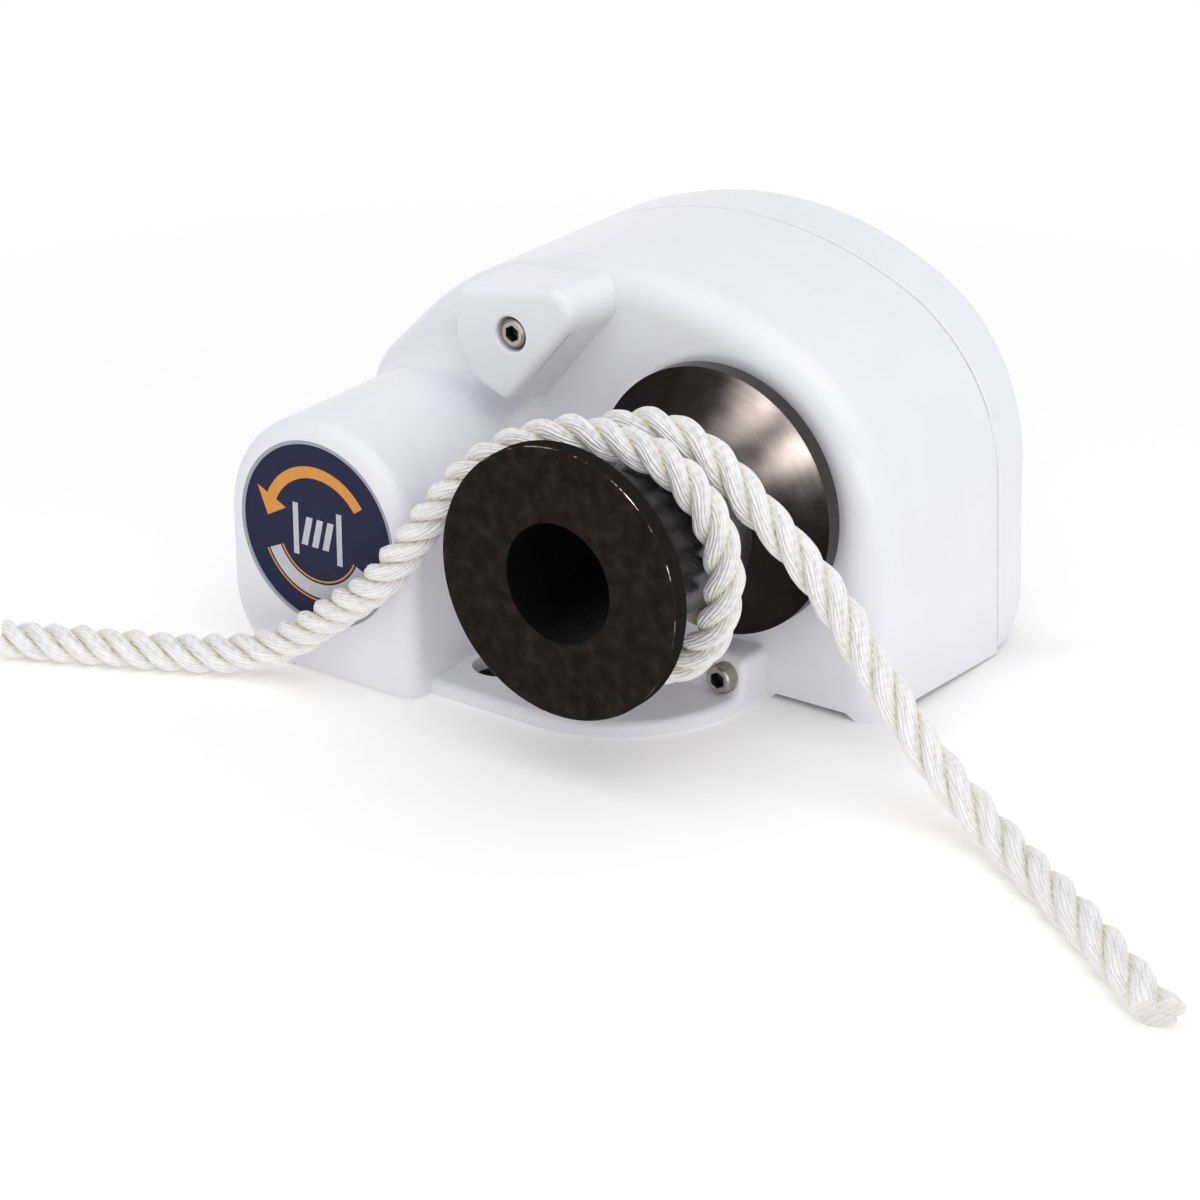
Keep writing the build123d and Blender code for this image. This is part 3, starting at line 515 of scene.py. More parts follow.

# Nylon: its filaments, ridges and twist, as shares of the shade value and of the relief; the ridges paint
# shade into the valleys between yarns
FILAMENT_STRETCH = (5.0, 0.2, 1.0)
FILAMENT_SHADE = 0.08
FILAMENT_RELIEF = 0.4
RIDGE_RANGE = (0.2, 0.75)
RIDGE_SHADE = 0.14
TWIST_RELIEF = 0.2
NYLON_RELIEF = 0.2
NYLON_ROUGHNESS = (0.29, 0.36)
NYLON_GLOW = (1.0, 0.95, 0.8)


class WINCH_OT_rope(bpy.types.Operator):
    """Lays the three-strand rope along its route, as its tail, its turn on the drum and its loaded end"""
    bl_idname = "winch.rope"
    bl_label = "Rope"

    def execute(self, context):
        settings = context.scene.winch_rope
        route = TAIL_ROUTE + DROP_ROUTE + turn_route() + LOAD_ROUTE
        points = even_steps(spline_points(route), settings.ring_step)
        rope = RopeLine(points)
        on, off = nearest(points, TAIL_ROUTE[-1]), nearest(points, LOAD_ROUTE[0])
        nylon = rope_nylon(settings)
        spans = [("rope_tail_laid", slice(0, on + 1), on, "rope_tail", "bare", "loose"),
                 ("rope_turns_laid", slice(on, off + 1), off, "rope_turns", "object", "taut"),
                 ("rope_load_laid", slice(off, len(points)), off, "rope_load", "bare", "loose")]
        for name, span, exit_at, node, far_end, lay in spans:
            mesh = laid_rope(name, rope, span, settings)
            mesh.materials.append(nylon)
            obj = piece(name, mesh, "housing", "rope_nylon", node)
        return {"FINISHED"}


def stations(points):
    """How far along the line each of its points lies."""
    return np.concatenate([[0], np.cumsum(np.linalg.norm(np.diff(points, axis=0), axis=1))])


def nearest(points, place):
    """The number of the point nearest to a place in millimetres."""
    return int(np.argmin(np.linalg.norm(points - np.array(place) * MM, axis=1)))


def turn_route():
    """The turn on the drum, which hangs a little slack under it."""
    route = []
    for turned_to, y in np.linspace(TURN_START, TURN_END, TURN_STEPS + 1):
        angle = math.radians(turned_to)
        u, v = polar(TURN_RADIUS + TURN_SAG * max(0.0, -math.sin(angle)) ** 2, angle)
        route.append((DRUM_CENTRE[0] + u, y, DRUM_CENTRE[1] + v))
    return route


def spline_points(route):
    """Points in metres along the smooth curve that has the route's points as its control points."""
    data = bpy.data.curves.new("rope_route", "CURVE")
    data.dimensions = "3D"
    data.resolution_u = ROUTE_RESOLUTION
    spline = data.splines.new("NURBS")
    spline.points.add(len(route) - 1)
    for point, place in zip(spline.points, route):
        point.co = (*(Vector(place) * MM), 1)
    spline.order_u = 3
    spline.use_endpoint_u = True
    mesh = plain_mesh(add_object("rope_route", data))
    return np.array([vertex.co for vertex in mesh.vertices])


def even_steps(points, step):
    along = stations(points)
    even = np.linspace(0, along[-1], int(round(along[-1] / step)) + 1)
    return np.stack([np.interp(even, along, points[:, axis]) for axis in range(3)], axis=1)


class RopeLine:
    """The rope's centreline with frames that don't twist along it, and how far its strands have turned."""

    def __init__(self, points):
        self.points = points
        self.along = stations(points)
        self.share = self.along / self.along[-1]
        self.ways = np.gradient(points, axis=0)
        self.ways /= np.linalg.norm(self.ways, axis=1)[:, None]
        sides = [np.cross(self.ways[0], (0, 0, 1))]
        for way in self.ways:
            side = sides[-1] - way * np.dot(sides[-1], way)
            sides.append(side / np.linalg.norm(side))
        self.sides = np.array(sides[1:])
        self.ups = np.cross(self.sides, self.ways)
        lay = np.interp(self.share, *zip(*LAY_BY_SHARE)) * MM
        self.turns = HAND * np.cumsum(math.tau * self.along[1] / lay)


def laid_rope(name, rope, span, settings):
    """One closed tube with three lobes for the strands and fine ridges for their yarns."""
    turns = rope.turns[span][:, None]
    along = rope.along[span][:, None]
    around = np.arange(settings.columns + 1) / settings.columns
    angle = math.tau * (around + yarn_wander(around, along) / settings.yarns) + YARN_SHARE * turns
    offset = (angle - turns + THIRD / 2) % THIRD - THIRD / 2
    groove = np.exp(-((THIRD / 2 - np.abs(offset)) / GROOVE_WIDTH) ** 2)
    yarn = np.broadcast_to(settings.yarns * around, angle.shape)
    valley = 1 - np.sqrt(2 * np.abs(yarn - np.round(yarn)))

    full = settings.diameter / 2
    strand = full * np.interp(rope.share[span], (0, 1), STRAND_WIDTH)[:, None]
    reach = full - strand
    radius = reach * np.cos(offset) + np.sqrt(strand ** 2 - (reach * np.sin(offset)) ** 2)
    radius -= GROOVE_DEPTH * MM * groove + settings.yarn_depth * valley
    radius += yarn_swell(yarn, along, settings.yarns) + strand_swell(offset, angle - turns, along)

    left = (rope.along[-1] - along) / MM
    radius *= 1 + END_FLARE * np.exp(-(left / END_FLARE_LONG) ** 2)
    out = (radius * np.cos(angle))[..., None] * rope.sides[span][:, None]
    out += (radius * np.sin(angle))[..., None] * rope.ups[span][:, None]
    lean = END_SLANT[0] * np.cross((0, 0, 1), rope.ways[-1]) + END_SLANT[1] * np.array((0, 0, 1))
    slide = (out @ lean) * np.exp(-left / END_SLANT_LONG)
    rings = rope.points[span][:, None] + out + slide[..., None] * rope.ways[span][:, None]
    rings[..., 2] = np.maximum(rings[..., 2], FLOOR_GAP * MM)
    from_crest = np.abs(offset) / (THIRD / 2)
    # painted shade, from part way down each strand to the groove
    painted_shade = np.clip((from_crest - SHADE_FROM) / (1 - SHADE_FROM), 0, 1) ** SHADE_POWER
    return rope_mesh(name, rings, painted_shade, yarn, along, groove, rope.ways[span])


def yarn_wander(around, along):
    """How far the yarns stray sideways, in yarn widths, as a few slow waves round and along the rope."""
    waves = [math.tau * (count * around + along / (pitch * MM)) for count, pitch in WANDER_WAVES]
    return YARN_WANDER * sum(np.sin(wave) for wave in waves)


def yarn_swell(yarn, along, count):
    """Each yarn's own height, which also wanders along the rope."""
    draw = np.random.default_rng(YARN_SEED)
    phases = draw.uniform(0, math.tau, count)
    pitches = draw.uniform(*YARN_PITCHES, count) * MM
    index = np.floor(yarn).astype(int) % count
    return YARN_SWELL * MM * np.sin(math.tau * along / pitches[index] + phases[index])


def strand_swell(offset, turned, along):
    """A slow unevenness of each strand, least in the grooves."""
    strand = np.round((turned - offset) / THIRD)
    wave = sum(np.sin(math.tau * along / (pitch * MM) + lead * strand) for pitch, lead in STRAND_WAVES)
    return STRAND_SWELL * MM * wave * np.cos(1.5 * offset)


def rope_mesh(name, rings, painted_shade, yarn, along, groove, ways):
    """Joins the rings into a tube with closed ends, and keeps its painted shade values."""
    count, columns = rings.shape[0], rings.shape[1] - 1
    verts = [tuple(place) for place in rings[:, :columns].reshape(-1, 3)]
    shade = list(painted_shade[:, :columns].ravel())
    lines = np.stack(np.broadcast_arrays(yarn, along / MM), axis=2)
    corners = [around_faces(lines[:-1, :-1], lines[:-1, 1:], lines[1:, 1:], lines[1:, :-1])]
    faces = []
    for ring in range(count - 1):
        faces += band(ring * columns, (ring + 1) * columns, columns)
    for ring, outward in ((0, -ways[0]), (count - 1, ways[-1])):
        end = rings[ring, :columns]
        add_cap(verts, shade, faces, corners, end, groove[ring, :columns], ring * columns, outward)
    mesh = bpy.data.meshes.new(name)
    mesh.from_pydata(verts, [], faces)
    mesh.attributes.new("groove", "FLOAT", "POINT").data.foreach_set("value", shade)
    mesh.uv_layers.new(name="yarn_lines").data.foreach_set("uv", np.concatenate(corners))
    return smooth_outside(mesh, ROPE_SHARP)


def around_faces(*corners):
    """Values at each face's corners in turn, from one array for each corner."""
    return np.stack(corners, axis=-2).ravel()


def add_cap(verts, shade, faces, corners, ring, groove, first, outward):
    """Closes an end with rings that dip between the strands, carry the cut fibres' lines and take painted
    shade, deeper in the dips.
    """
    columns = len(ring)
    centre = ring.mean(axis=0)
    spread = ring - centre
    side = spread[0] / np.linalg.norm(spread[0])
    lines = np.stack([spread @ side, spread @ np.cross(outward, side)], axis=1) * CAP_LINES / MM
    after = np.roll(lines, -1, axis=0)
    before = first
    reached = 1.0
    for share in CAP_RINGS:
        start = len(verts)
        dip = CAP_DIP * MM * (groove * 2 - 1 + share)
        verts += [tuple(place) for place in centre + share * spread - dip[:, None] * outward]
        # painted shade on the cut end
        shade += list(CAP_SHADE + CAP_GROOVE_SHADE * groove)
        faces += band(before, start, columns)
        corners.append(around_faces(reached * lines, reached * after, share * after, share * lines))
        before = start
        reached = share
    faces += [(before + step, before + (step + 1) % columns, len(verts)) for step in range(columns)]
    corners.append(around_faces(reached * lines, reached * after, 0 * lines))
    verts.append(tuple(centre))
    shade.append(CAP_SHADE)


def rope_nylon(settings):
    """Bright nylon with ivory shade painted into the grooves between strands and into the valleys between
    yarns, and fine filaments along its yarns.
    """
    crest, deep = tuple(settings.crest), tuple(settings.deep)
    finish = Finish("rope_nylon", crest, NYLON_ROUGHNESS[0], specular=1.0)
    groove = finish.node("Attribute", attribute_name="groove").outputs["Fac"]
    lines = finish.node("TexCoord").outputs["UV"]
    drawn = finish.vector("MULTIPLY", lines, FILAMENT_STRETCH)
    filaments = finish.noise(drawn, scale=1.0, detail=2.0)
    across, along, _ = finish.node("SeparateXYZ", {0: lines}).outputs
    inward = finish.math("MULTIPLY", finish.math("PINGPONG", across, 0.5), 2.0)
    ridge = finish.math("POWER", inward, 0.5)
    turn = finish.math("ADD", across, finish.math("DIVIDE", along, YARN_TWIST))
    twist = finish.math("SINE", finish.math("MULTIPLY", turn, math.tau))
    shade = finish.math("ADD", groove, finish.over_noise(filaments, FILAMENT_SHADE, -FILAMENT_SHADE))
    # painted shade in the valleys between the yarns
    shade = finish.math("ADD", shade, finish.span(ridge, *RIDGE_RANGE, RIDGE_SHADE, 0.0))
    finish.paint(shade, (0.0, crest), (0.4, tinted(crest, 0.95)), (1.0, deep))
    finish.rough(filaments, *NYLON_ROUGHNESS)
    finish.set("Subsurface Weight", 0.1)
    finish.set("Subsurface Radius", NYLON_GLOW)
    finish.set("Subsurface Scale", 1.0 * MM)
    relief = finish.math("ADD", finish.math("MULTIPLY", filaments, FILAMENT_RELIEF), ridge)
    relief = finish.math("ADD", finish.math("MULTIPLY", twist, TWIST_RELIEF), relief)
    finish.bump(relief, NYLON_RELIEF * MM)
    return finish.material


# Housing and inner pieces

TURNED_LINES = (0.05, 1, 0.05)


class WINCH_OT_housing(bpy.types.Operator):
    """Gives each piece of the construction the finish of its material slot, where there is one"""
    bl_idname = "winch.housing"
    bl_label = "Housing and inner pieces"

    def execute(self, context):
        finishes = slot_finishes(context.scene)
        for part in frame["record"]["subparts"]:
            finish = finishes.get(part["material_slot"])
            if finish is None:
                continue
            slots = frame["nodes"][part["node"]].data.materials
            slots.clear()
            slots.append(finish)
        return {"FINISHED"}


def slot_finishes(scene):
    """A finish for each material slot of the record that construction nodes show."""
    steel = tuple(scene.winch_screw.steel)
    return {
        "housing_white": moulded_white(scene.winch_housing),
        "label_blue": label_ground(scene.winch_label),
        "gasket_rubber": grained("seal_rubber", grey(0.012), 0.6, 0.0, 900, relief=0.03),
        "zinc_steel": grained("zinc_plate", (0.55, 0.56, 0.57), 0.4, 1.0, 260, spread=0.08, relief=0.01),
        "stainless": grained("stainless_steel", steel, 0.38, 1.0, 2200, TURNED_LINES),
        "gear_steel": grained("machined_steel", (0.42, 0.42, 0.44), 0.38, 1.0, 3000, TURNED_LINES),
        "label_grey": grained("bezel_grey", (0.36, 0.375, 0.41), 0.4, 0.0, 700, spread=0.05, relief=0.01),
        "bush_bronze": grained("sintered_bronze", (0.50, 0.33, 0.16), 0.45, 1.0, 1800, spread=0.25,
                               relief=0.03),
        "motor_can": grained("black_paint", grey(0.022), 0.4, 0.0, 500),
        "magnet": grained("ferrite", grey(0.05), 0.55, 0.0, 1500, spread=0.3, relief=0.03),
        "cast_alloy": grained("cast_alloy", (0.52, 0.53, 0.55), 0.5, 1.0, 1300, spread=0.15, relief=0.04),
        "brush_carbon": grained("carbon", grey(0.02), 0.5, 0.0, 2400, spread=0.3),
        "armature_iron": grained("iron_sheets", (0.20, 0.195, 0.19), 0.42, 1.0, 1500, TURNED_LINES,
                                 spread=0.3, relief=0.05),
        "copper": grained("copper_segments", (0.62, 0.29, 0.16), 0.38, 1.0, 2600, TURNED_LINES),
    }


def moulded_white(settings):
    """Gloss white moulding with a faint unevenness."""
    colour, roughness = tuple(settings.colour), settings.roughness
    finish = Finish("moulded_white", colour, roughness)
    cloud = finish.noise(finish.place(), scale=45, detail=3.0)
    finish.tones(cloud, colour, *zip(NOISE_RANGE, (0.985, 1.01)))
    finish.rough(cloud, roughness * 0.94, roughness * 1.1)
    return finish.material


# Drum: turned in one piece, in millimetres of radius and of Y

BARREL_R = 27.5
FLANGE_R = (44.0, 44.7)
FLANGE_RIM = 6.1
BORE_R = 19.5
SHAFT_R = 8.02
BORE_FLOOR_Y = -34.0
RIM_CHAMFER = 0.5
FLARE_ARC = [(44.2, -9.2), (33.0, -15.2), (27.5, -26.2)]
FLARE_STEPS = 18
FLARE_FOOT = 0.4
BACK_ARC = [(27.5, -60.0), (34.0, -74.0), (43.5, -84.9)]
BACK_STEPS = 14
ZONES = ["hidden", "rear_rim", "flare", "barrel", "rim", "edge", "face", "bore"]

# Places about the drum's axis, as a stretch and a centre in metres
FROM_AXIS = ((1, 0, 1), (DRUM_CENTRE[0] * MM, 0, DRUM_CENTRE[1] * MM))
FACE_RINGS = 7000.0
BARE_METAL = (0.022, 0.020, 0.018)


class WINCH_OT_drum(bpy.types.Operator):
    """Turns the capstan drum, with its worn edges and its polished flare"""
    bl_idname = "winch.drum"
    bl_label = "Drum"

    def execute(self, context):
        settings = context.scene.winch_drum
        low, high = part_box("capstan_drum")
        front, rear = low[1] / MM, high[1] / MM
        corners = [(SHAFT_R, rear, "hidden"), (FLANGE_R[1], rear, "rear_rim", "rear_rim"),
                   (FLANGE_R[1], rear - FLANGE_RIM, "flare")]
        corners += [(*point, "flare") for point in arc_through(*FLARE_ARC, FLARE_STEPS)]
        corners += [(BARREL_R, FLARE_ARC[-1][1] - FLARE_FOOT, "barrel")]
        corners += [(*point, "barrel") for point in arc_through(*BACK_ARC, BACK_STEPS)[:-1]]
        corners += [(*BACK_ARC[-1], "rim"), (FLANGE_R[0], BACK_ARC[-1][1] - RIM_CHAMFER, "rim"),
                    (FLANGE_R[0], front, "face", "edge"), (BORE_R, front, "bore", "face"),
                    (BORE_R, BORE_FLOOR_Y, "bore", "bore"), (SHAFT_R, BORE_FLOOR_Y, "hidden")]
        mesh = turned("turned_drum", rounded_outline(corners, settings.edge / MM), settings.segments)
        for finish in drum_finishes(settings):
            mesh.materials.append(finish)
        drum = piece("turned_drum", mesh, "drum", "drum_black", "capstan_drum")
        bpy.data.collections[GLOSS_ON].objects.link(drum)
        return {"FINISHED"}


def arc_through(start, middle, end, steps):
    """Points between two ends on the circle through three points."""
    (ax, ay), (bx, by), (cx, cy) = start, middle, end
    span = 2 * (ax * (by - cy) + bx * (cy - ay) + cx * (ay - by))
    a2, b2, c2 = ax * ax + ay * ay, bx * bx + by * by, cx * cx + cy * cy
    x = (a2 * (by - cy) + b2 * (cy - ay) + c2 * (ay - by)) / span
    y = (a2 * (cx - bx) + b2 * (ax - cx) + c2 * (bx - ax)) / span
    radius = math.hypot(ax - x, ay - y)
    first, last = math.atan2(ay - y, ax - x), math.atan2(cy - y, cx - x)
    if abs(last - first) > math.pi:
        last += math.copysign(math.tau, first - last)
    spokes = [polar(radius, angle) for angle in np.linspace(first, last, steps + 1)]
    return [(x + u, y + v) for u, v in spokes]


def rounded_outline(corners, edge, steps=4, guard=0.08):
    """A closed line of (radius, y, zone) points, rounded at each corner that has a zone of its own."""
    outline = []
    for number, (r, y, zone, *edge_zone) in enumerate(corners):
        if not edge_zone:
            outline.append((r, y, zone))
            continue
        corner = Vector((r, y))
        back = (Vector(corners[number - 1][:2]) - corner).normalized()
        on = (Vector(corners[(number + 1) % len(corners)][:2]) - corner).normalized()
        outline.append((*(corner + back * (edge + guard)), corners[number - 1][2]))
        for step in range(steps + 1):
            share = step / steps
            place = corner + back * edge * (1 - share) ** 2 + on * edge * share ** 2
            outline.append((*place, edge_zone[0] if step < steps else zone))
        outline.append((*(corner + on * (edge + guard)), zone))
    return outline


def turned(name, outline, segments):
    """Turns a closed outline about the drum's axis."""
    x, z = DRUM_CENTRE
    verts, faces, zones = [], [], []
    for ring, (r, y, zone) in enumerate(outline):
        for segment in range(segments):
            u, v = polar(r, math.tau * segment / segments)
            verts.append(((x + u) * MM, y * MM, (z + v) * MM))
        faces += band(ring * segments, (ring + 1) % len(outline) * segments, segments)
        zones += [ZONES.index(zone)] * segments
    return closed_mesh(name, verts, faces, zones, sharp_angle=40)


def drum_finishes(settings):
    """A finish for each zone of the drum, in the order of the zones."""
    face, flare = tuple(settings.face), tuple(settings.flare)
    return [satin_black("drum_back", grey(0.012), 0.45),
            polished("drum_rear_rim", (0.051, 0.048, 0.0435), 0.38, spread=0.25),
            polished("drum_flare", flare, 0.4, spread=0.2, drawn_out=1.0),
            satin_black("drum_barrel", grey(0.009), 0.22, specular=1.0),
            satin_black("drum_rim", (0.016, 0.015, 0.013), 0.4, specular=0.0),
            worn_edge(face),
            worn_face(face),
            # the bore is black like the drum and painted darker still, as shade deep inside it
            satin_black("drum_bore", grey(0.0015), 0.6, specular=0.08)]


def satin_black(name, colour, roughness, specular=0.5):
    return grained(name, colour, roughness, 0.0, 520, spread=0.2, relief=0.012, specular=specular)


def polished(name, colour, roughness, spread, drawn_out=0.0):
    """Dark metal with faint rub marks and turning lines, which draw highlights out along the radius."""
    finish = Finish(name, colour, roughness, 1.0)
    finish.set("Anisotropic", drawn_out)
    outward = finish.node("VectorTransform", {0: finish.place(*FROM_AXIS)}, vector_type="VECTOR",
                          convert_from="OBJECT", convert_to="WORLD")
    finish.into("Tangent", outward.outputs[0])
    rubbed = finish.noise(finish.place(), scale=90, detail=4.0)
    lines = finish.noise(finish.place((0.04, 1, 0.04)), scale=2600, detail=2.0)
    mark = finish.math("MULTIPLY", finish.math("ADD", rubbed, lines), 0.5)
    finish.tones(mark, colour, (0.35, 1 - spread), (0.65, 1 + spread))
    finish.rough(rubbed, roughness * 0.85, roughness * 1.2)
    finish.bump(lines, 0.006 * MM)
    return finish.material


def worn_face(colour):
    """Matt black, mottled and a little brown, with faint turning rings."""
    finish = Finish("drum_face", colour, 0.62, specular=0.0)
    mottle = finish.noise(finish.place(), scale=210, detail=5.0)
    finish.tones(mottle, colour, (0.3, 0.65), (0.55, 1.0), (0.75, 1.6))
    finish.rough(mottle, 0.7, 0.54)
    rings = finish.math("SINE", finish.math("MULTIPLY", finish.distance(*FROM_AXIS), FACE_RINGS))
    finish.bump(finish.math("ADD", mottle, finish.math("MULTIPLY", rings, 0.12)), 0.03 * MM)
    return finish.material


def worn_edge(colour):
    """The flange's edge, with the black rubbed off in a broken line."""
    finish = Finish("drum_edge", colour, 0.35, specular=0.0)
    rub = finish.noise(finish.place(), scale=170, detail=5.0)
    bare = finish.span(rub, 0.5, 0.62)
    finish.paint(bare, (0.0, colour), (1.0, BARE_METAL))
    finish.into("Metallic", bare)
    finish.rough(rub, 0.5, 0.32)
    return finish.material


# Label: a printed plate with a generic winding sign, in millimetres from its centre and in degrees

LABEL_PROUD = 0.05
ARROW_BAND = (19.0, 23.0)
ARROW_ANGLES = (35, 155)
ARROW_HEAD = (14.5, 27.5, 20)
LOWER_BAND = (17.5, 22.5)
LOWER_ANGLES = (205, 335)
LOWER_LINES = [(16.2, 16.8), (23.2, 23.8)]

# The sign's spool, with its rope's wraps: places across, then half width, half height and lean
SPOOL_FLANGES = (-9.1, 9.1)
FLANGE_SLAB = (1.1, 9.0, 0.0)
SPOOL_WRAPS = (-4.4, 0.0, 4.4)
WRAP_SLAB = (1.3, 5.0, 1.2)

# Distances in metres from the plate's upper left over which a painted sheen on its ground fades out and the
# ground darkens
SHEEN_FADE = (0.012, 0.07)


class WINCH_OT_label(bpy.types.Operator):
    """Prints the round plate on the motor pod with a plain winding sign"""
    bl_idname = "winch.label"
    bl_label = "Label"

    def execute(self, context):
        settings = context.scene.winch_label
        light = [arc_band(*LOWER_BAND, *LOWER_ANGLES)]
        light += [slab(middle, *FLANGE_SLAB) for middle in SPOOL_FLANGES]
        light += [slab(middle, *WRAP_SLAB) for middle in SPOOL_WRAPS]
        accent = [arc_band(*ARROW_BAND, *ARROW_ANGLES), arrow_head()]
        accent += [arc_band(*line, *LOWER_ANGLES) for line in LOWER_LINES]
        mesh = printed_shapes("label_print", light, accent)
        mesh.materials.append(print_ink("print_grey", tuple(settings.light)))
        mesh.materials.append(print_ink("print_orange", tuple(settings.accent)))
        piece("label_print", mesh, "housing", "label_grey")
        return {"FINISHED"}


def arc_band(inner, outer, first, last, steps=36):
    angles = np.radians(np.linspace(first, last, steps + 1))
    return [polar(outer, angle) for angle in angles] + [polar(inner, angle) for angle in angles[::-1]]


def arrow_head():
    """The point of the turning arrow, past the end of its band."""
    inner, outer, long = ARROW_HEAD
    start, tip = math.radians(ARROW_ANGLES[1]), math.radians(ARROW_ANGLES[1] + long)
    return [polar(outer, start), polar((inner + outer) / 2, tip), polar(inner, start)]


def slab(middle, wide, tall, lean):
    foot, top = middle - lean, middle + lean
    return [(foot - wide, -tall), (foot + wide, -tall), (top + wide, tall), (top - wide, tall)]


def printed_shapes(name, *inks):
    """Flat shapes that stand a hair proud of the plate, in one list for each ink."""
    low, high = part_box("label_disc")
    x, z = (low[0] + high[0]) / 2, (low[2] + high[2]) / 2
    verts, faces, zones = [], [], []
    for zone, shapes in enumerate(inks):
        for shape in shapes:
            first, count = len(verts), len(shape)
            for y in (low[1] - LABEL_PROUD * MM, low[1]):
                verts += [(x + u * MM, y, z + v * MM) for u, v in shape]
            faces.append(tuple(range(first, first + count)))
            faces.append(tuple(range(first + 2 * count - 1, first + count - 1, -1)))
            faces += band(first, first + count, count)
            zones += [zone] * (count + 2)
    return closed_mesh(name, verts, faces, zones)


def label_ground(settings):
    """Dark blue print with a painted sheen that lightens it towards the upper left, and a random cloud,
    under a clear gloss.
    """
    ground = tuple(settings.ground)
    finish = Finish("label_ground", ground, 0.34, specular=0.15)
    low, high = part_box("label_disc")
    away = finish.distance((1, 1, 1), (low[0], 0, high[2]))
    cloud = finish.noise(finish.place(), scale=160, detail=3.0)
    sheen_and_cloud = finish.math("ADD", finish.span(away, *SHEEN_FADE), finish.over_noise(cloud, -0.06, 0.06))
    # painted sheen: up to 3.4 times lighter near the plate's upper left
    finish.tones(sheen_and_cloud, ground, (0.0, 3.4), (0.55, 1.0), (1.0, 0.7))
    finish.rough(cloud, 0.31, 0.38)
    return finish.material


def print_ink(name, colour):
    return grained(name, colour, 0.4, 0.0, 600, spread=0.06, relief=0.004)


# Screws: socket cap screws with knurled heads, made by geometry nodes, in millimetres

# Piece, construction node, number of screws, and how far they stand back from the node's front
SCREW_ROWS = [("boss_cap_screw", "boss_screw", 1, 0.0), ("apron_cap_screws", "apron_screws", 2, 1.8)]
HEAD_R = 4.5
HEAD_LONG = 7.0
HEAD_CHAMFER = 0.6
HEAD_SIDES = 48
SHANK_R = 3.0
SHANK_LONG = 12.0
SOCKET_FLAT = 2.3
SOCKET_DEEP = 3.6
SOCKET_CONE = 0.8
SOCKET_RIM = 0.25
SOCKET_REACH = 1.2
FACE_SKIN = 0.05
TIP_R = 0.01
KNURL_LONG = 5.4
RIDGE_SIDES = 6


class WINCH_OT_screws(bpy.types.Operator):
    """Makes the socket cap screws in the boss and on the apron"""
    bl_idname = "winch.screws"
    bl_label = "Screws"

    def execute(self, context):
        settings = context.scene.winch_screw
        steel = grained("screw_steel", tuple(settings.steel), 0.38, 1.0, 1500, (0.1, 1, 0.1), spread=0.15)
        # painted shade: the socket is painted near black, as shade deep in it
        painted_shade = grained("screw_socket", grey(0.006), 0.5, 0.0, 900)
        tree = knurled_screws(steel, painted_shade)
        for name, node, count, back in SCREW_ROWS:
            low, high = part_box(node)
            half = (high[2] - low[2]) / 2
            first = Vector((high[0] - half, low[1] + back * MM, low[2] + half))
            step = (high[0] - low[0] - 2 * half) / (count - 1) if count > 1 else 0
            values = {"Ridges": settings.ridges, "Ridge radius": settings.ridge, "Screws": count,
                      "First head": first, "Spacing": Vector((-step, 0, 0))}
            obj = add_object(name, cap_screw(name))
            modifier = obj.modifiers.new("knurl", "NODES")
            modifier.node_group = tree
            for item in tree.interface.items_tree:
                if item.name in values:
                    modifier[item.identifier] = values[item.name]
            piece(name, plain_mesh(obj), "housing", "stainless", node)
        return {"FINISHED"}


def cap_screw(name):
    """One screw along Y with its head's face at the origin, as rings from the socket's floor to the tip."""
    def hexagon(angle):
        return SOCKET_FLAT / math.cos((angle + math.pi / 6) % (math.pi / 3) - math.pi / 6)

    def circle(radius):
        return lambda angle: radius

    end = HEAD_LONG + SHANK_LONG
    rings = [(circle(TIP_R), SOCKET_DEEP + SOCKET_CONE), (hexagon, SOCKET_DEEP), (hexagon, SOCKET_RIM),
             (lambda angle: hexagon(angle) + SOCKET_RIM, 0.0), (circle(HEAD_R - HEAD_CHAMFER), 0.0),
             (circle(HEAD_R), HEAD_CHAMFER), (circle(HEAD_R), HEAD_LONG), (circle(SHANK_R), HEAD_LONG),
             (circle(SHANK_R), end), (circle(TIP_R), end)]
    verts, faces = [], []
    for radius, y in rings:
        for side in range(HEAD_SIDES):
            angle = math.tau * side / HEAD_SIDES
            u, v = polar(radius(angle), angle)
            verts.append((u * MM, y * MM, v * MM))
    for ring in range(len(rings) - 1):
        faces += band(ring * HEAD_SIDES, (ring + 1) * HEAD_SIDES, HEAD_SIDES)
    faces += [tuple(range(HEAD_SIDES)), tuple(range(len(verts) - HEAD_SIDES, len(verts)))]
    mesh = closed_mesh(name, verts, faces)
    # the socket's faces are marked for the near-black painted shade
    in_socket = []
    for face in mesh.polygons:
        x, y, z = face.center / MM
        in_socket.append(FACE_SKIN < y < HEAD_LONG and math.hypot(x, z) < SOCKET_REACH * SOCKET_FLAT)
    mesh.attributes.new("socket", "BOOLEAN", "FACE").data.foreach_set("value", in_socket)
    return mesh


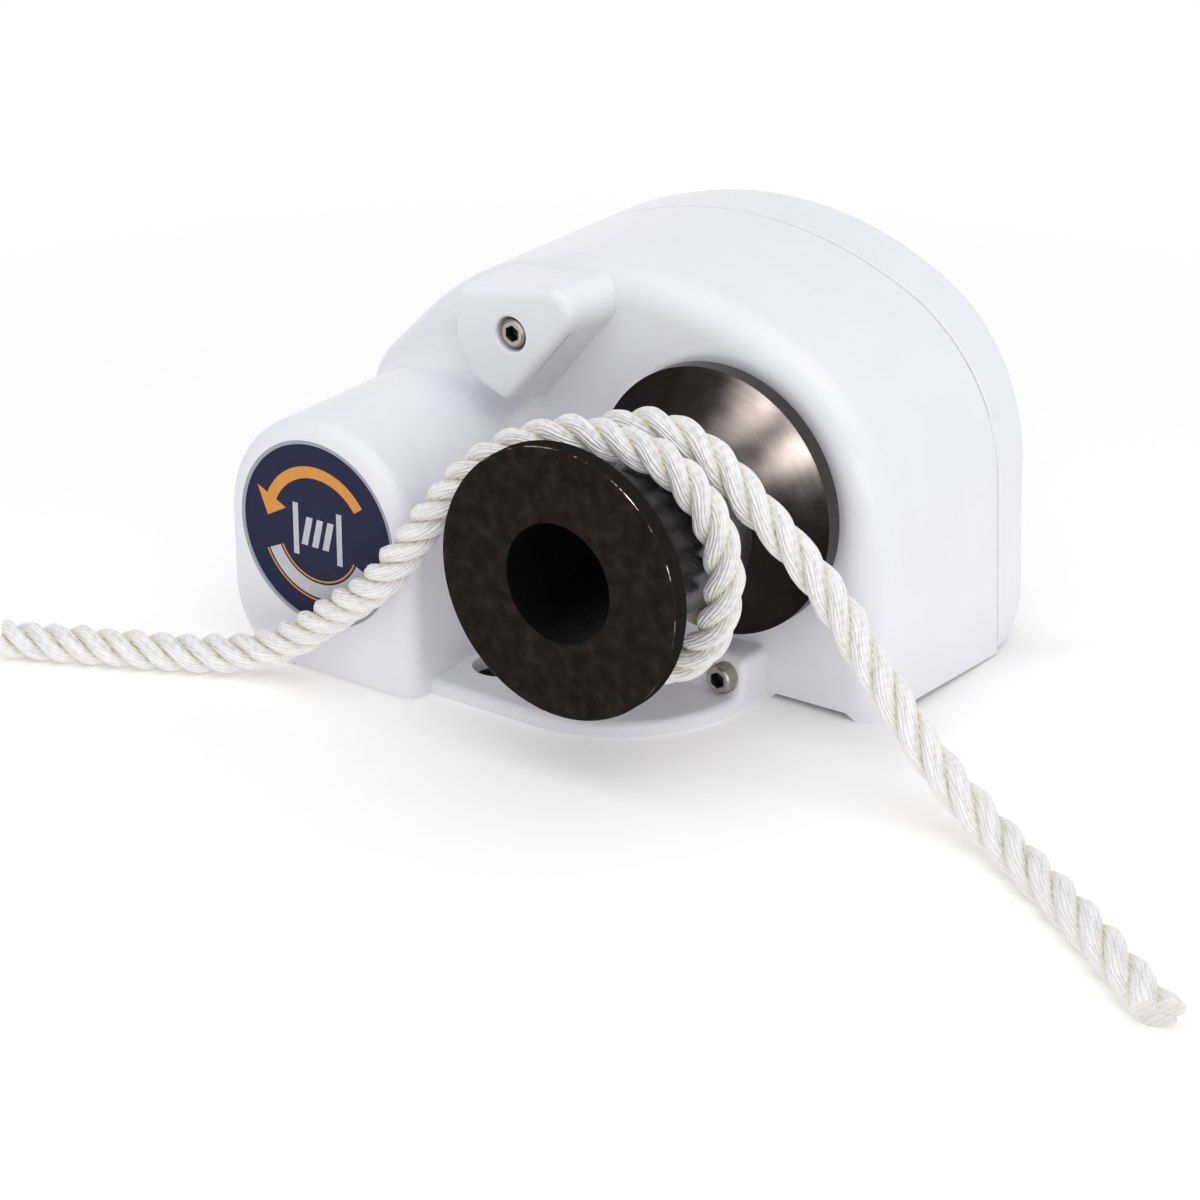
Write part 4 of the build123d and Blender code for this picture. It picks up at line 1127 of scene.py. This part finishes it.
def knurled_screws(steel, painted_shade):
    """A tree that adds a ring of ridges to a screw's head, repeats the screw in a row and paints shade into
    its socket.
    """
    tree = bpy.data.node_groups.new("knurled_screws", "GeometryNodeTree")
    for name, kind in (("Geometry", "Geometry"), ("Ridges", "Int"), ("Ridge radius", "Float"),
                       ("Screws", "Int"), ("First head", "Vector"), ("Spacing", "Vector")):
        tree.interface.new_socket(name, in_out="INPUT", socket_type="NodeSocket" + kind)
    tree.interface.new_socket("Geometry", in_out="OUTPUT", socket_type="NodeSocketGeometry")

    def made(kind, inputs, **values):
        return add_node(tree, "GeometryNode" + kind, inputs, **values).outputs[0]

    given = add_node(tree, "NodeGroupInput").outputs
    upright = (math.pi / 2, 0, 0)
    middle = (0, (HEAD_CHAMFER + KNURL_LONG / 2) * MM, 0)
    circle = made("MeshCircle", {"Vertices": given["Ridges"], "Radius": HEAD_R * MM})
    ring = made("Transform", {"Geometry": circle, "Rotation": upright, "Translation": middle})
    bar = made("MeshCylinder",
               {"Vertices": RIDGE_SIDES, "Radius": given["Ridge radius"], "Depth": KNURL_LONG * MM})
    ridge = made("Transform", {"Geometry": bar, "Rotation": upright})
    knurl = made("InstanceOnPoints", {"Points": ring, "Instance": ridge})
    whole = add_node(tree, "GeometryNodeJoinGeometry", {0: knurl})
    tree.links.new(given["Geometry"], whole.inputs[0])
    row = made("MeshLine",
               {"Count": given["Screws"], "Start Location": given["First head"], "Offset": given["Spacing"]})
    screws = made("InstanceOnPoints", {"Points": row, "Instance": whole.outputs[0]})
    real = made("RealizeInstances", {"Geometry": screws})
    plain = made("SetMaterial", {"Geometry": real, "Material": steel})
    # painted shade: near black on the socket's faces
    socket = made("InputNamedAttribute", {"Name": "socket"}, data_type="BOOLEAN")
    inside = made("SetMaterial", {"Geometry": plain, "Selection": socket, "Material": painted_shade})
    add_node(tree, "NodeGroupOutput", {0: inside})
    return tree


# Sidebar and running order

class WINCH_PT_panel(bpy.types.Panel):
    """Lists the winch's settings and the steps that build it"""
    bl_idname = "WINCH_PT_panel"
    bl_label = "Capstan winch"
    bl_space_type = "VIEW_3D"
    bl_region_type = "UI"
    bl_category = "Winch"

    def draw(self, context):
        for name, group in SETTINGS.items():
            settings = getattr(context.scene, name)
            for field in group.__annotations__:
                self.layout.prop(settings, field)
        for operator in OPERATORS:
            self.layout.operator(operator.bl_idname)


SETTINGS = {
    "winch_camera": CameraSettings,
    "winch_stage": StageSettings,
    "winch_rope": RopeSettings,
    "winch_housing": HousingSettings,
    "winch_drum": DrumSettings,
    "winch_label": LabelSettings,
    "winch_screw": ScrewSettings,
}
OPERATORS = [WINCH_OT_stage, WINCH_OT_rope, WINCH_OT_housing, WINCH_OT_drum, WINCH_OT_label,
             WINCH_OT_screws]


def register():
    for name, group in SETTINGS.items():
        bpy.utils.register_class(group)
        setattr(bpy.types.Scene, name, PointerProperty(type=group))
    for operator in OPERATORS:
        bpy.utils.register_class(operator)
    bpy.utils.register_class(WINCH_PT_panel)


def unregister():
    bpy.utils.unregister_class(WINCH_PT_panel)
    for operator in reversed(OPERATORS):
        bpy.utils.unregister_class(operator)
    for name, group in reversed(SETTINGS.items()):
        delattr(bpy.types.Scene, name)
        bpy.utils.unregister_class(group)


def main():
    register()
    bpy.ops.winch.stage()
    bpy.ops.winch.rope()
    bpy.ops.winch.housing()
    bpy.ops.winch.drum()
    bpy.ops.winch.label()
    bpy.ops.winch.screws()


if __name__ == "__main__":
    main()
